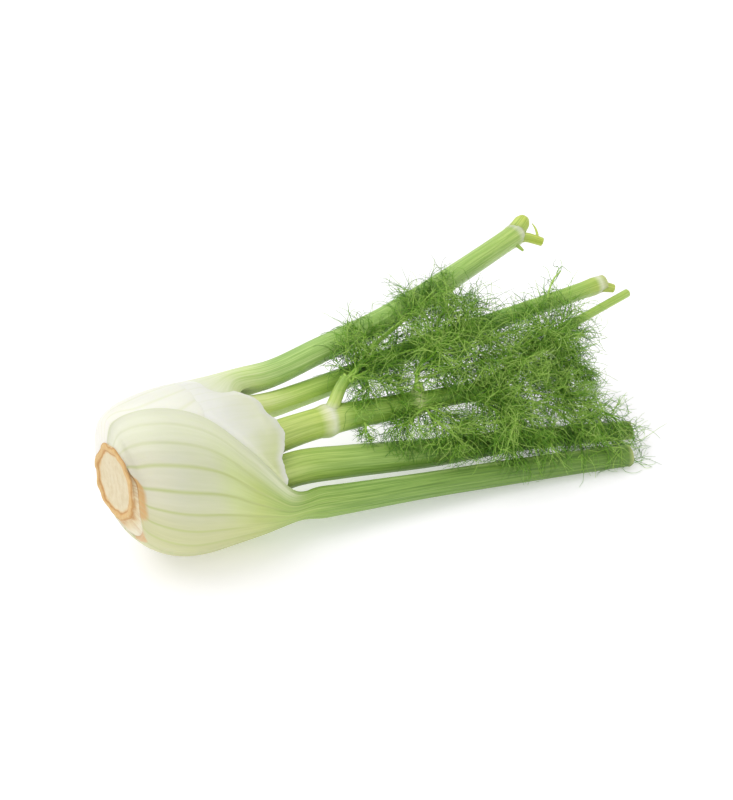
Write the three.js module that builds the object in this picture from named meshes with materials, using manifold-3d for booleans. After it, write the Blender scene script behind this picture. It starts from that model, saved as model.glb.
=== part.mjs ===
// A Florence fennel bulb with trimmed stalks and feathery fronds, lying on its side.
// Millimetres. +X runs from the cut root to the stalks and +Z is up. The origin is the middle
// of the small flat spot that the bulb rests on.
import * as THREE from 'three';
import { mergeVertices } from 'three/addons/utils/BufferGeometryUtils.js';
import Module from 'manifold-3d';

const wasm = await Module();
wasm.setup();

// Where the bulb's axis lies, and how far its fan of stalks is tilted up from level
const axisY = 3.9;
const axisZ = 40.1;
const fanTilt = 38;

// Clear space between neighbouring leaves
const leafGap = 0.4;

// The flat spot under the bulb: its place along the bulb, which is the origin's too, and the
// area around it where the ribs run out
const restSpot = { x: 10, halfLength: 17, halfWidth: 14 };

// Half sizes of the bulb by place along its axis: towards the upper outer stalk, towards the
// lower outer stalk, and across the fan
const upperHalf = through([
  [-34, 18], [-31, 27.5], [-27, 35], [-18, 40.5], [-6, 43.5], [8, 44], [25, 43], [45, 42.5], [70, 41],
]);
const lowerHalf = through([
  [-34, 17], [-31, 24], [-28, 28.5], [-20, 35.5], [-8, 42], [5, 44], [20, 44.5], [36, 45], [50, 44.5],
  [62, 43.5],
]);
const acrossHalf = through([
  [-34, 15], [-31, 22], [-28, 26], [-22, 31.5], [-14, 36], [-4, 39], [8, 40], [25, 36.5], [45, 27], [58, 20],
  [75, 16],
]);

// How far the root end is pushed over, out of the fan's upper face
const rootLean = through([[-34, 6.5], [-28, 5.5], [-20, 4], [-10, 2], [2, 0.5], [12, 0]]);

// The outer leaf on the lower side, whose sheath wraps over all the others
const lowerLeaf = {
  side: -1,
  arc: through([
    [-34, 146], [-17, 131], [0, 117], [12, 103], [24, 82], [32, 70], [38.5, 59], [46, 46], [60, 30],
  ]),
  depth: () => 0,
  middle: 5.5,
  edge: () => 1.2,
  rootEnd: -31.5,
  setBack: through([[0, 4], [85, 4], [112, 0.5], [146, 0]]),
  parting: [44, 70],
  route: [[36.7, -36, 1.1], [52.8, -37.3, 0.4], [81.8, -42.3, 1], [125.8, -50.6, 3.8],
    [171.6, -59.6, 6.9], [206.5, -67.4, 10.9], [239.3, -75.3, 15.3]],
  thick: [[36, 8.9], [55, 8.6], [82, 7.9], [126, 6.9], [172, 6.8], [240, 6.1]],
  wide: [[36, 11], [55, 10], [82, 8.6], [126, 7.4], [172, 7], [240, 6.2]],
  ribs: 12,
  sheathRib: 0.75,
  stalkRib: 0.45,
  stations: [-31.5, -30, -27, -23, -18, -12, -5, 3, 10, 17, 24, 31, 37, 42, 47, 52, 57, 62, 70, 82, 98, 118,
    142, 166, 190, 216, 239.3],
  colour: 0xdfe6c4,
};

// The outer leaf on the upper side, under the first one's margins
const upperLeaf = {
  side: 1,
  arc: through([
    [-34, 62], [-26, 70], [-16, 106], [-8, 114], [4, 112], [14, 102], [24, 84], [34, 62], [42, 48], [50, 38],
    [60, 30],
  ]),
  depth: () => 0.5,
  middle: 7,
  edge: through([[-34, 6], [2, 6], [22, 1.8], [60, 1.8]]),
  rootEnd: -31.5,
  setBack: () => 0,
  parting: [32, 60],
  route: [[30, 36, 0], [48.1, 35.2, 1], [72.3, 33.4, 3], [104, 37.1, 5.2], [136.1, 40.6, 7.6],
    [172, 47.8, 8], [213.1, 59.1, 4.5], [255.6, 71.6, 0.1]],
  thick: [[30, 8], [50, 7.6], [72, 7.2], [104, 6.9], [172, 6.2], [222, 5.6], [249, 5.7], [252, 6.6], [255.6, 6]],
  wide: [[30, 11], [50, 10], [72, 8.4], [104, 7.4], [172, 6.6], [222, 6], [249, 6], [252, 6.9], [255.6, 6.2]],
  ribs: 10,
  sheathRib: 0.6,
  stalkRib: 0.4,
  stations: [-31.5, -29, -25, -20, -13, -5, 4, 12, 19, 26, 32, 37, 42, 47, 52, 57, 62, 72, 88, 108, 132, 158,
    186, 216, 249, 252, 255.6],
  colour: 0xe4e9cf,
};

// The thin torn membranes of the upper leaf, one on each face of the bulb. Each row gives the
// angle from the upper side and how far along the bulb the torn edge reaches there.
const membraneDepth = 1.7;
const membraneThickness = 1;
const membraneRoot = -4;
const membranes = [
  {
    face: 1,
    from: 32,
    to: 118,
    reach: [[32, 34], [46, 38], [56, 44], [64, 48], [74, 52.5], [83, 56.5], [90, 57.5], [97, 55.5], [104, 51],
      [118, 40]],
  },
  {
    face: -1,
    from: 32,
    to: 112,
    reach: [[32, 34], [46, 40], [60, 50], [75, 52], [92, 49], [104, 44], [112, 36]],
  },
];

// The inner leaves and the heart, whose stalks come out of the bulb's throat
const innerDepth = through([[-30, 11], [10, 9.9], [26, 6.5], [40, 4], [60, 3.4]]);
const frontLeaf = {
  side: -1,
  arc: through([[-30, 86], [20, 84], [40, 50], [60, 30]]),
  depth: innerDepth,
  middle: 6.5,
  edge: () => 2.5,
  rootEnd: -22,
  setBack: () => 0,
  parting: [8, 42],
  route: [[22, -22, 1], [58.7, -18.9, 2.4], [87.6, -22.8, 0.4], [137.9, -33.9, 0.8], [185.9, -42.3, 0.4],
    [222.2, -50.3, 0.3], [256.9, -59.1, 1.9]],
  thick: [[22, 9], [58, 9], [95, 8.6], [138, 7.8], [186, 6.2], [257, 5.3]],
  wide: [[22, 20], [42, 15], [58, 11.5], [95, 9], [138, 7.8], [186, 6.2], [257, 5.4]],
  ribs: 7,
  sheathRib: 0,
  stalkRib: 0.4,
  stations: [-22, -16, -8, 0, 8, 16, 24, 32, 40, 48, 56, 64, 78, 98, 122, 150, 180, 218, 256.9],
  colour: 0x8fae52,
};
const backLeaf = {
  side: 1,
  arc: through([[-30, 86], [20, 84], [40, 50], [60, 30]]),
  depth: innerDepth,
  middle: 6.5,
  edge: () => 2.5,
  rootEnd: -22,
  setBack: () => 0,
  parting: [8, 42],
  route: [[22, 22, -1], [64.2, 19.2, -2.6], [85.4, 19.5, -2.8], [116.8, 20.9, -2], [148.9, 23, 0.2],
    [181.3, 24, 2.8], [212.6, 23, 7.2], [244.6, 22.4, 11.6], [279.6, 22.2, 15.9]],
  thick: [[22, 9], [58, 6.9], [85, 6.4], [149, 5.7], [213, 5.1], [266, 4.8], [273, 5.2], [279.6, 4.8]],
  wide: [[22, 20], [42, 14], [58, 10], [85, 7.6], [149, 6.3], [213, 5.7], [266, 5.1], [273, 5.6], [279.6, 5.1]],
  ribs: 7,
  sheathRib: 0,
  stalkRib: 0.35,
  stations: [-22, -16, -8, 0, 8, 16, 24, 32, 40, 48, 56, 64, 78, 98, 122, 150, 182, 220, 266, 273, 279.6],
  colour: 0xa9bf63,
};
const heart = {
  stations: [-22, -14, -4, 8, 20, 30, 38, 46, 54, 62, 74, 86, 90, 94, 98, 110, 126, 135, 138, 141, 146, 158, 171],
  route: [[-22, 0, 0], [30, -2, 1], [64.8, 0, 2.9], [91.6, -0.5, 3.3], [116.2, -4.4, 6.3], [139.4, -8.4, 9.5],
    [158.2, -11.1, 11.6], [171.8, -14, 13.9]],
  thick: [[-22, 12], [-4, 19], [10, 21], [26, 17], [44, 9.6], [60, 8.5], [84, 8], [90, 8.9], [96, 7.6], [134, 6.6],
    [139, 7.3], [143, 5.8], [171, 5]],
  wide: [[-22, 11], [-4, 16], [10, 17], [26, 16], [44, 12], [60, 10.5], [84, 8.8], [90, 9.6], [96, 8.2], [134, 6.8],
    [139, 7.5], [143, 6], [171, 5]],
  ribs: 8,
  rib: 0.3,
  colour: 0xb9cc74,
};

// What grows from the heart stalk: a stub at its first joint, a shorter one at its second, and
// the long thin side stem with its cut end
const heartBranches = [
  { route: [[88, 0, 5], [93, 4, 9], [100, 11, 12], [106, 15.4, 13.5]], radius: [4.6, 3.6, 3.2, 3] },
  { route: [[137, -8, 10], [139, -4, 14], [142, 0, 17]], radius: [3.4, 2.8, 2.3] },
  {
    route: [[166, -12.5, 12.8], [182, -11.5, 14.6], [197.4, -8.8, 14.9], [226.3, 0.1, 14.9],
      [256.5, 6.6, 14.9], [292.2, 12.9, 14.4]],
    radius: [3.8, 3, 2.7, 2.5, 2.4, 2.4],
  },
];
// Cut stubs at the ends of the upper and the back stalk
const upperStubs = [
  { route: [[250, 70.5, 1], [256, 74.5, 1], [260, 77.5, 1.5]], radius: [4.6, 4.4, 3.4] },
  { route: [[251, 68, 2], [257, 66.5, 3.5], [263, 67.5, 4.5]], radius: [2.8, 2.3, 1.8] },
];
const backStubs = [
  { route: [[274, 22, 15.4], [280, 19.5, 15.9], [284, 17.5, 16]], radius: [3.2, 2.9, 2.4] },
];

// The cut root: the profile runs from inside the bulb to the rim, over the brown ring and into
// the paler middle, as [place along the axis, size against the ring]
const rootRing = { across: 0.6, toward: 5.4, halfTall: 19, halfWide: 19 };
const rootProfile = [
  [-22.6, 1.05], [-24.3, 1.4], [-30.6, 1.27], [-32.2, 1.01], [-32.7, 0.92], [-31.9, 0.78], [-31.6, 0.4],
];
const rootRim = 2;
const rootSides = 24;
const rootDroop = 0.12;

// Fronds: a stem, how far its side shoots reach, and how many of them and of threads there are
const shootRadius = 0.6;
const threadRadius = 0.5;
const fronds = [
  { name: 'frond_upper', seed: 11, shoots: 13, reach: 20, threads: 2,
    stem: [[106.3, 16.2, 13.9], [116, 23, 14.5], [130, 27, 17], [152, 33, 17.5], [180.7, 39, 19], [212, 48, 18]] },
  { name: 'frond_crown', seed: 23, shoots: 10, reach: 19, threads: 2,
    stem: [[142.4, 1, 17.7], [148, 7, 22], [160, 12, 26], [174, 16, 29], [190, 19, 31]] },
  { name: 'frond_stem', seed: 37, shoots: 10, reach: 20, threads: 2,
    stem: [[198, -5.4, 17.5], [206, 2, 22], [218, 12, 26], [234, 24, 28], [250, 31, 28]] },
  { name: 'frond_side', seed: 41, shoots: 8, reach: 18, threads: 2,
    stem: [[236, -1, 16.5], [240, -5, 18], [243, -12, 18], [240, -20, 16]] },
  { name: 'frond_front', seed: 59, shoots: 14, reach: 21, threads: 2,
    stem: [[173.4, -17.3, 15.2], [184, -22, 19], [198, -28, 21], [214, -36, 22], [232, -46, 23], [250, -58, 22]] },
  { name: 'frond_rear', seed: 83, shoots: 8, reach: 17, threads: 2,
    stem: [[173.5, -14.5, 8], [182, -16, -1], [194, -18, -14], [208, -19, -26], [222, -18, -35.4]] },
  { name: 'frond_low', seed: 67, shoots: 6, reach: 15, threads: 2,
    stem: [[141, -16.4, 15.2], [141, -23, 16], [142, -31, 17]] },
];

const across = new THREE.Vector3(0, Math.cos(rad(fanTilt)), Math.sin(rad(fanTilt)));
const toward = new THREE.Vector3(0, -Math.sin(rad(fanTilt)), Math.cos(rad(fanTilt)));

function rad(degrees) {
  return (degrees * Math.PI) / 180;
}

function smooth(from, to, value) {
  const t = Math.min(Math.max((value - from) / (to - from), 0), 1);
  return t * t * (3 - 2 * t);
}

// A smooth curve through rows of [place, value], level beyond both ends
function through(rows) {
  const last = rows.length - 1;
  const slopeAt = (i) => {
    const before = rows[Math.max(i - 1, 0)];
    const after = rows[Math.min(i + 1, last)];
    return (after[1] - before[1]) / (after[0] - before[0]);
  };
  return (place) => {
    if (place <= rows[0][0]) return rows[0][1];
    if (place >= rows[last][0]) return rows[last][1];
    const i = rows.findIndex((row) => row[0] > place) - 1;
    const span = rows[i + 1][0] - rows[i][0];
    const t = (place - rows[i][0]) / span;
    const rise = t * t * (3 - 2 * t);
    const lead = t * (1 - t) * (1 - t) * span * slopeAt(i);
    const trail = t * t * (t - 1) * span * slopeAt(i + 1);
    return rows[i][1] * (1 - rise) + rows[i + 1][1] * rise + lead + trail;
  };
}

// A point given along the bulb, up the fan of stalks, and out of the fan's upper face
function fanPoint(x, up, out) {
  return new THREE.Vector3(x - restSpot.x, axisY, axisZ).addScaledVector(across, up).addScaledVector(toward, out);
}

// A point of the bulb's own skin, or below it. The angle starts at the upper side.
function skinPoint(x, angle, depth) {
  const half = Math.cos(angle) > 0 ? upperHalf(x) : lowerHalf(x);
  return fanPoint(x, (half - depth) * Math.cos(angle), rootLean(x) + (acrossHalf(x) - depth) * Math.sin(angle));
}

// A curve whose points are given along the fan, read by its place on X
function routeOf(rows) {
  const up = through(rows.map((row) => [row[0], row[1]]));
  const out = through(rows.map((row) => [row[0], row[2]]));
  const step = 0.5;
  return {
    at: (x) => fanPoint(x, up(x), out(x)),
    heading: (x) => fanPoint(x + step, up(x + step), out(x + step))
      .sub(fanPoint(x - step, up(x - step), out(x - step))).normalize(),
  };
}

// The two directions across a stalk, at right angles to where it heads
function sectionAxes(heading) {
  const up = across.clone().addScaledVector(heading, -across.dot(heading)).normalize();
  const out = new THREE.Vector3().crossVectors(heading, up);
  if (out.dot(toward) < 0) out.negate();
  return { up, out };
}

// One closed body from rings of equal length. Each ring runs along a strip's outer face and
// back along its inner face, so that both ends close by strips between the faces.
function loft(rings) {
  const count = rings[0].length;
  const positions = rings.flat().flatMap((point) => point.toArray());
  const index = [];
  const quad = (a, b, c, d) => index.push(a, b, c, a, c, d);
  for (let ring = 0; ring + 1 < rings.length; ring += 1) {
    for (let k = 0; k < count; k += 1) {
      const next = (k + 1) % count;
      quad(ring * count + k, ring * count + next, (ring + 1) * count + next, (ring + 1) * count + k);
    }
  }
  const end = (rings.length - 1) * count;
  for (let k = 0; k + 1 < count / 2; k += 1) {
    const opposite = count - 1 - k;
    quad(k, opposite, opposite - 1, k + 1);
    quad(end + k, end + k + 1, end + opposite - 1, end + opposite);
  }
  const geometry = new THREE.BufferGeometry();
  geometry.setAttribute('position', new THREE.Float32BufferAttribute(positions, 3));
  geometry.setIndex(index);
  return faceOutwards(geometry);
}

function volumeOf(geometry) {
  const position = geometry.attributes.position;
  const index = geometry.index.array;
  const corner = [0, 1, 2].map(() => new THREE.Vector3());
  let volume = 0;
  for (let i = 0; i < index.length; i += 3) {
    corner.forEach((point, k) => point.fromBufferAttribute(position, index[i + k]));
    volume += corner[0].dot(corner[1].clone().cross(corner[2])) / 6;
  }
  return volume;
}

function faceOutwards(geometry) {
  if (volumeOf(geometry) > 0) return geometry;
  const index = geometry.index.array;
  for (let i = 0; i < index.length; i += 3) {
    [index[i + 1], index[i + 2]] = [index[i + 2], index[i + 1]];
  }
  return geometry;
}

function toSolid(geometry) {
  const merged = mergeVertices(geometry, 1e-4);
  return new wasm.Manifold(new wasm.Mesh({
    numProp: 3,
    vertProperties: merged.attributes.position.array,
    triVerts: new Uint32Array(merged.index.array),
  }));
}

// The largest body of a solid, as a plain geometry. Scraps that a cut leaves are dropped.
function largestBody(solid) {
  const bodies = solid.decompose();
  bodies.sort((a, b) => b.volume() - a.volume());
  return bodies[0];
}

function toGeometry(solid) {
  const mesh = solid.getMesh();
  const geometry = new THREE.BufferGeometry();
  geometry.setAttribute('position', new THREE.BufferAttribute(new Float32Array(mesh.vertProperties), 3));
  geometry.setIndex(new THREE.BufferAttribute(new Uint32Array(mesh.triVerts), 1));
  return geometry;
}

// How thin a sheath gets where it meets the root, against its full thickness
const rootThinning = 0.45;

// How far the outer face of a stalk and its inner face wrap round it, in degrees
const outerWrap = 138;
const innerWrap = 144;
const channelDepth = 0.12;

// A leaf: a sheath round the bulb that narrows into a ribbed stalk. grow makes it larger all
// round, for the hollow that it needs in its neighbours.
function leafRings(leaf, grow = 0) {
  const route = routeOf(leaf.route);
  const thick = through(leaf.thick);
  const wide = through(leaf.wide);
  const steps = leaf.ribs * 2;
  const first = leaf.stations[0];
  const last = leaf.stations[leaf.stations.length - 1];
  const sheathPoint = (x, c, outer) => {
    const arc = rad(leaf.arc(x)) + grow / 40;
    const angle = leaf.side > 0 ? arc * c : Math.PI - arc * c;
    const hump = 1 - Math.abs(c) ** 2.4;
    const thinned = leaf.edge(x) + (leaf.middle - leaf.edge(x)) * hump;
    const thickness = thinned * THREE.MathUtils.lerp(rootThinning, 1, smooth(leaf.rootEnd, leaf.rootEnd + 16, x));
    const slant = leaf.setBack(leaf.arc(x) * Math.abs(c)) * (1 - smooth(leaf.rootEnd, leaf.rootEnd + 22, x));
    const depth = leaf.depth(x) + (outer ? -grow : thickness + grow);
    return skinPoint(x + slant, angle, depth);
  };
  const stalkPoint = (x, c, outer) => {
    const { up, out } = sectionAxes(route.heading(x));
    const turn = rad(outer ? outerWrap * c : 180 - (180 - innerWrap) * c);
    const hollow = outer ? 1 : 1 - channelDepth * (1 - c * c);
    const lift = (thick(x) + grow) * hollow * Math.cos(turn) * leaf.side;
    return route.at(x).addScaledVector(up, lift).addScaledVector(out, (wide(x) + grow) * Math.sin(turn));
  };
  const onFloor = (point) => {
    if (point.z < -grow) point.z = -grow;
    return point;
  };
  return leaf.stations.map((station) => {
    const shift = station === first ? -grow : station === last ? grow : 0;
    const x = station + shift;
    const parted = smooth(leaf.parting[0], leaf.parting[1], x);
    const place = (c, outer, rib) => {
      const sheath = sheathPoint(x, c, outer);
      const stalk = stalkPoint(x, c, outer);
      const middle = outer ? fanPoint(x, 0, 0) : sheath;
      const point = sheath.clone().lerp(stalk, parted);
      if (!outer || rib === 0) return onFloor(point);
      const outward = sheath.clone().sub(middle).normalize().lerp(stalk.sub(route.at(x)).normalize(), parted);
      return onFloor(point.addScaledVector(outward, rib));
    };
    const ringOuter = [];
    const ringInner = [];
    for (let k = 0; k <= steps; k += 1) {
      const c = -1 + (2 * k) / steps;
      const sheathRib = leaf.sheathRib * smooth(leaf.rootEnd, leaf.rootEnd + 16, x);
      const height = THREE.MathUtils.lerp(sheathRib, leaf.stalkRib, parted);
      const flat = restFlatness(x, skinPoint(x, leaf.side > 0 ? 0 : Math.PI - rad(leaf.arc(x)) * c, 0));
      const rib = k % 2 === 1 ? -height * flat : 0;
      ringOuter.push(place(c, true, grow > 0 ? 0 : rib));
      ringInner.unshift(place(c, false, 0));
    }
    return [...ringOuter, ...ringInner];
  });
}

// 0 on the flat spot under the bulb, where the ribs have run out, and 1 away from it
function restFlatness(x, point) {
  const along = (x - restSpot.x) / restSpot.halfLength;
  const aside = point.y / restSpot.halfWidth;
  const height = Math.max(point.z, 0) / 3;
  return smooth(0.8, 1.4, Math.hypot(along, aside, height));
}

function leafSolid(leaf, grow = 0) {
  return toSolid(loft(leafRings(leaf, grow)));
}

// A membrane of the upper leaf, with its torn edge
function membraneSolid(membrane, grow = 0) {
  const steps = 14;
  const rows = [0, 0.35, 0.7, 1];
  const reach = through(membrane.reach);
  const rings = rows.map((row) => {
    const ringOuter = [];
    const ringInner = [];
    for (let k = 0; k <= steps; k += 1) {
      const degrees = THREE.MathUtils.lerp(membrane.from, membrane.to, k / steps);
      const tear = row === 1 ? 0.9 * Math.sin(k * 2.3) : 0;
      const x = THREE.MathUtils.lerp(membraneRoot, reach(degrees) + tear + grow, row);
      const ripple = 0.5 * Math.sin(degrees * 0.22) * smooth(20, 45, x);
      const angle = rad(degrees) * membrane.face;
      ringOuter.push(skinPoint(x, angle, membraneDepth + ripple - grow));
      ringInner.unshift(skinPoint(x, angle, membraneDepth + ripple + membraneThickness + grow));
    }
    return [...ringOuter, ...ringInner];
  });
  return toSolid(loft(rings));
}

// A round stem through points of the fan, with its own radius at each
function stemSolid({ route, radius }, sides = 8) {
  const points = route.map((row) => fanPoint(...row));
  return toSolid(tubeGeometry(points, radius, sides));
}

// A closed tube of flat-ended rings, each at right angles to the way the points run
function tubeGeometry(points, radius, sides) {
  const rings = [];
  let normal = null;
  points.forEach((point, i) => {
    const before = points[Math.max(i - 1, 0)];
    const heading = points[Math.min(i + 1, points.length - 1)].clone().sub(before).normalize();
    if (!normal) {
      const helper = Math.abs(heading.z) < 0.8 ? new THREE.Vector3(0, 0, 1) : new THREE.Vector3(0, 1, 0);
      normal = helper.cross(heading);
    }
    normal.addScaledVector(heading, -normal.dot(heading)).normalize();
    const side = new THREE.Vector3().crossVectors(heading, normal);
    rings.push(Array.from({ length: sides }, (unused, k) => {
      const turn = (k / sides) * 2 * Math.PI;
      return point.clone()
        .addScaledVector(normal, radius[i] * Math.cos(turn))
        .addScaledVector(side, radius[i] * Math.sin(turn));
    }));
  });
  return closedTube(rings);
}

// Rings joined side by side, with both ends closed by a fan of triangles
function closedTube(rings) {
  const sides = rings[0].length;
  const positions = rings.flat().flatMap((point) => point.toArray());
  const index = [];
  for (let ring = 0; ring + 1 < rings.length; ring += 1) {
    for (let k = 0; k < sides; k += 1) {
      const a = ring * sides + k;
      const b = ring * sides + (k + 1) % sides;
      index.push(a, b, b + sides, a, b + sides, a + sides);
    }
  }
  const end = (rings.length - 1) * sides;
  for (let k = 1; k + 1 < sides; k += 1) {
    index.push(0, k + 1, k, end, end + k, end + k + 1);
  }
  const geometry = new THREE.BufferGeometry();
  geometry.setAttribute('position', new THREE.Float32BufferAttribute(positions, 3));
  geometry.setIndex(index);
  return faceOutwards(geometry);
}

// The heart: the core of the bulb and its jointed stalk, round and lightly ribbed
function heartSolid() {
  const route = routeOf(heart.route);
  const thick = through(heart.thick);
  const wide = through(heart.wide);
  const sides = heart.ribs * 2;
  const rings = heart.stations.map((x) => {
    const { up, out } = sectionAxes(route.heading(x));
    return Array.from({ length: sides }, (unused, k) => {
      const turn = (k / sides) * 2 * Math.PI;
      const rib = k % 2 === 1 ? -heart.rib : 0;
      return route.at(x)
        .addScaledVector(up, (thick(x) + rib) * Math.cos(turn))
        .addScaledVector(out, (wide(x) + rib) * Math.sin(turn));
    });
  });
  return heartBranches.reduce((solid, branch) => solid.add(stemSolid(branch)), toSolid(closedTube(rings)));
}

// The root plate, drawn out and set back towards the lower leaf, where the knife ran on
function rootSolid() {
  const rings = rootProfile.map(([x, size], ring) => Array.from({ length: rootSides }, (unused, k) => {
    const turn = (k / rootSides) * 2 * Math.PI;
    const fromLower = Math.abs(THREE.MathUtils.radToDeg(turn) - 180);
    const low = Math.max(-Math.cos(turn), 0);
    const reach = size + (ring <= rootRim ? rootDroop * low : 0);
    const up = rootRing.across + rootRing.halfTall * reach * Math.cos(turn);
    const out = rootRing.toward + rootRing.halfWide * reach * Math.sin(turn);
    return fanPoint(x + (ring === rootRim ? lowerLeaf.setBack(fromLower) : 0), up, out);
  }));
  return toSolid(closedTube(rings));
}

// Seeded draws between 0 and 1
function draws(seed) {
  let state = seed;
  return () => {
    state = (state * 1664525 + 1013904223) % 4294967296;
    return state / 4294967296;
  };
}

// Straight pieces of stalks and of other fronds' threads, which a new thread must stay clear of
const taken = [];

function takeRoute(rows, sizeAt) {
  for (let i = 0; i + 1 < rows.length; i += 1) {
    taken.push({
      from: fanPoint(...rows[i]),
      to: fanPoint(...rows[i + 1]),
      radius: Math.max(sizeAt(i), sizeAt(i + 1)),
    });
  }
}

function segmentDistance(p, q, from, to) {
  const nearest = new THREE.Vector3();
  const line = new THREE.Line3(from, to);
  const steps = 6;
  let least = Infinity;
  for (let i = 0; i <= steps; i += 1) {
    const sample = p.clone().lerp(q, i / steps);
    line.closestPointToPoint(sample, true, nearest);
    least = Math.min(least, sample.distanceTo(nearest));
  }
  return least;
}

function isClear(points, radius, others, room) {
  return points.every((point, i) => {
    if (point.z < radius + 0.1) return false;
    if (i === 0) return true;
    return others.every((other) => segmentDistance(points[i - 1], point, other.from, other.to)
      > other.radius + radius + room);
  });
}

// A frond: a stem with side shoots all round it, and fine threads along each shoot
function frondSolid(frond) {
  const draw = draws(frond.seed);
  const stem = new THREE.CatmullRomCurve3(frond.stem.map((row) => fanPoint(...row)), false, 'centripetal');
  const stemSteps = frond.stem.length * 2;
  const stemPoints = stem.getPoints(stemSteps);
  const stemRadius = stemPoints.map((point, i) => THREE.MathUtils.lerp(1.2, 0.6, i / stemSteps));
  const pieces = [toSolid(tubeGeometry(stemPoints, stemRadius, 5))];
  const used = [];
  const keep = (points, radii) => {
    pieces.push(toSolid(tubeGeometry(points, radii, 3)));
    for (let i = 0; i + 1 < points.length; i += 1) {
      used.push({ from: points[i], to: points[i + 1], radius: radii[0] });
    }
  };
  for (let i = 0; i < stemSteps; i += 1) {
    used.push({ from: stemPoints[i], to: stemPoints[i + 1], radius: stemRadius[i] });
  }
  // A shoot that starts inside its carrier, tried a few times until it is clear
  const shootFrom = (base, heading, along, length, radius, bends) => {
    for (let trial = 0; trial < 6; trial += 1) {
      const turn = draw() * 2 * Math.PI;
      const aside = new THREE.Vector3(Math.cos(turn), Math.sin(turn), 0.6 * draw() - 0.2);
      aside.addScaledVector(heading, -aside.dot(heading)).normalize();
      const way = heading.clone().multiplyScalar(along).add(aside).normalize();
      const middle = base.clone().addScaledVector(way, length * 0.5);
      const tip = middle.clone().addScaledVector(way.addScaledVector(heading, 0.5).normalize(), length * 0.5);
      tip.z -= length * 0.16;
      const root = base.clone().lerp(middle, 0.3);
      const free = base.clone().lerp(middle, 0.75);
      const clear = isClear([root, middle, tip], radius, taken, 0.5)
        && isClear([free, middle, tip], radius, used, 0.3);
      if (clear) {
        keep(bends ? [base, middle, tip] : [base, tip], bends ? [radius, radius * 0.9, radius * 0.6] : [radius, radius]);
        return [base, middle, tip];
      }
    }
    return null;
  };
  for (let i = 0; i < frond.shoots; i += 1) {
    const t = 0.1 + (0.9 * (i + 0.5)) / frond.shoots;
    const fullness = 0.65 + 0.35 * Math.sin(Math.PI * (0.25 + 0.6 * t));
    const length = frond.reach * fullness * (0.8 + 0.4 * draw());
    const shoot = shootFrom(stem.getPointAt(t), stem.getTangentAt(t), 0.6, length, shootRadius, true);
    if (!shoot) continue;
    for (let k = 0; k < frond.threads; k += 1) {
      const s = 0.25 + (0.72 * k) / Math.max(frond.threads - 1, 1);
      const first = s < 0.5;
      const [from, to] = first ? [shoot[0], shoot[1]] : [shoot[1], shoot[2]];
      const base = from.clone().lerp(to, first ? s * 2 : s * 2 - 1);
      const heading = to.clone().sub(from).normalize();
      shootFrom(base, heading, 0.9, 6 + 4 * draw(), threadRadius, false);
    }
  }
  taken.push(...used);
  return largestBody(wasm.Manifold.union(pieces)).simplify(0.12);
}

const part = new THREE.Group();

function addNode(name, solid, colour, roughness) {
  const material = new THREE.MeshStandardMaterial({ color: colour, roughness, metalness: 0 });
  const mesh = new THREE.Mesh(toGeometry(largestBody(solid.simplify(0.05))), material);
  mesh.name = name;
  part.add(mesh);
}

// Every leaf is cut back by the hollow of those outside it, from the outermost one inwards
const lowerHollow = leafSolid(lowerLeaf, leafGap);
const upperHollow = membranes.reduce(
  (solid, membrane) => solid.add(membraneSolid(membrane, leafGap)),
  leafSolid(upperLeaf, leafGap),
);
const frontHollow = leafSolid(frontLeaf, leafGap);
const backHollow = leafSolid(backLeaf, leafGap);

const upperPieces = [
  ...membranes.map((membrane) => membraneSolid(membrane)),
  ...upperStubs.map((stub) => stemSolid(stub)),
];
const upperSolid = upperPieces.reduce((solid, piece) => solid.add(piece), leafSolid(upperLeaf));
const backSolid = backStubs.reduce((solid, stub) => solid.add(stemSolid(stub)), leafSolid(backLeaf));
const frontSolid = leafSolid(frontLeaf).subtract(lowerHollow).subtract(upperHollow);

addNode('root_base', rootSolid().subtract(lowerHollow).subtract(upperHollow), 0xd9bd94, 0.7);
addNode('outer_stalk_lower', leafSolid(lowerLeaf), lowerLeaf.colour, 0.35);
addNode('outer_stalk_upper', upperSolid.subtract(lowerHollow), upperLeaf.colour, 0.35);
addNode('inner_stalk_front', frontSolid, frontLeaf.colour, 0.4);
addNode(
  'inner_stalk_back',
  backSolid.subtract(lowerHollow).subtract(upperHollow).subtract(frontHollow),
  backLeaf.colour,
  0.4,
);
addNode(
  'heart_stalk',
  heartSolid().subtract(lowerHollow).subtract(upperHollow).subtract(frontHollow).subtract(backHollow),
  heart.colour,
  0.4,
);

[lowerLeaf, upperLeaf, frontLeaf, backLeaf].forEach((leaf) => {
  const wide = through(leaf.wide);
  const thick = through(leaf.thick);
  takeRoute(leaf.route, (i) => Math.max(wide(leaf.route[i][0]), thick(leaf.route[i][0])));
});
takeRoute(heart.route, (i) => through(heart.wide)(heart.route[i][0]));
heartBranches.forEach((branch) => takeRoute(branch.route, (i) => branch.radius[i]));

fronds.forEach((frond) => addNode(frond.name, frondSolid(frond), 0x5f9136, 0.6));

export default part;
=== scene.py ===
import math

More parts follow.
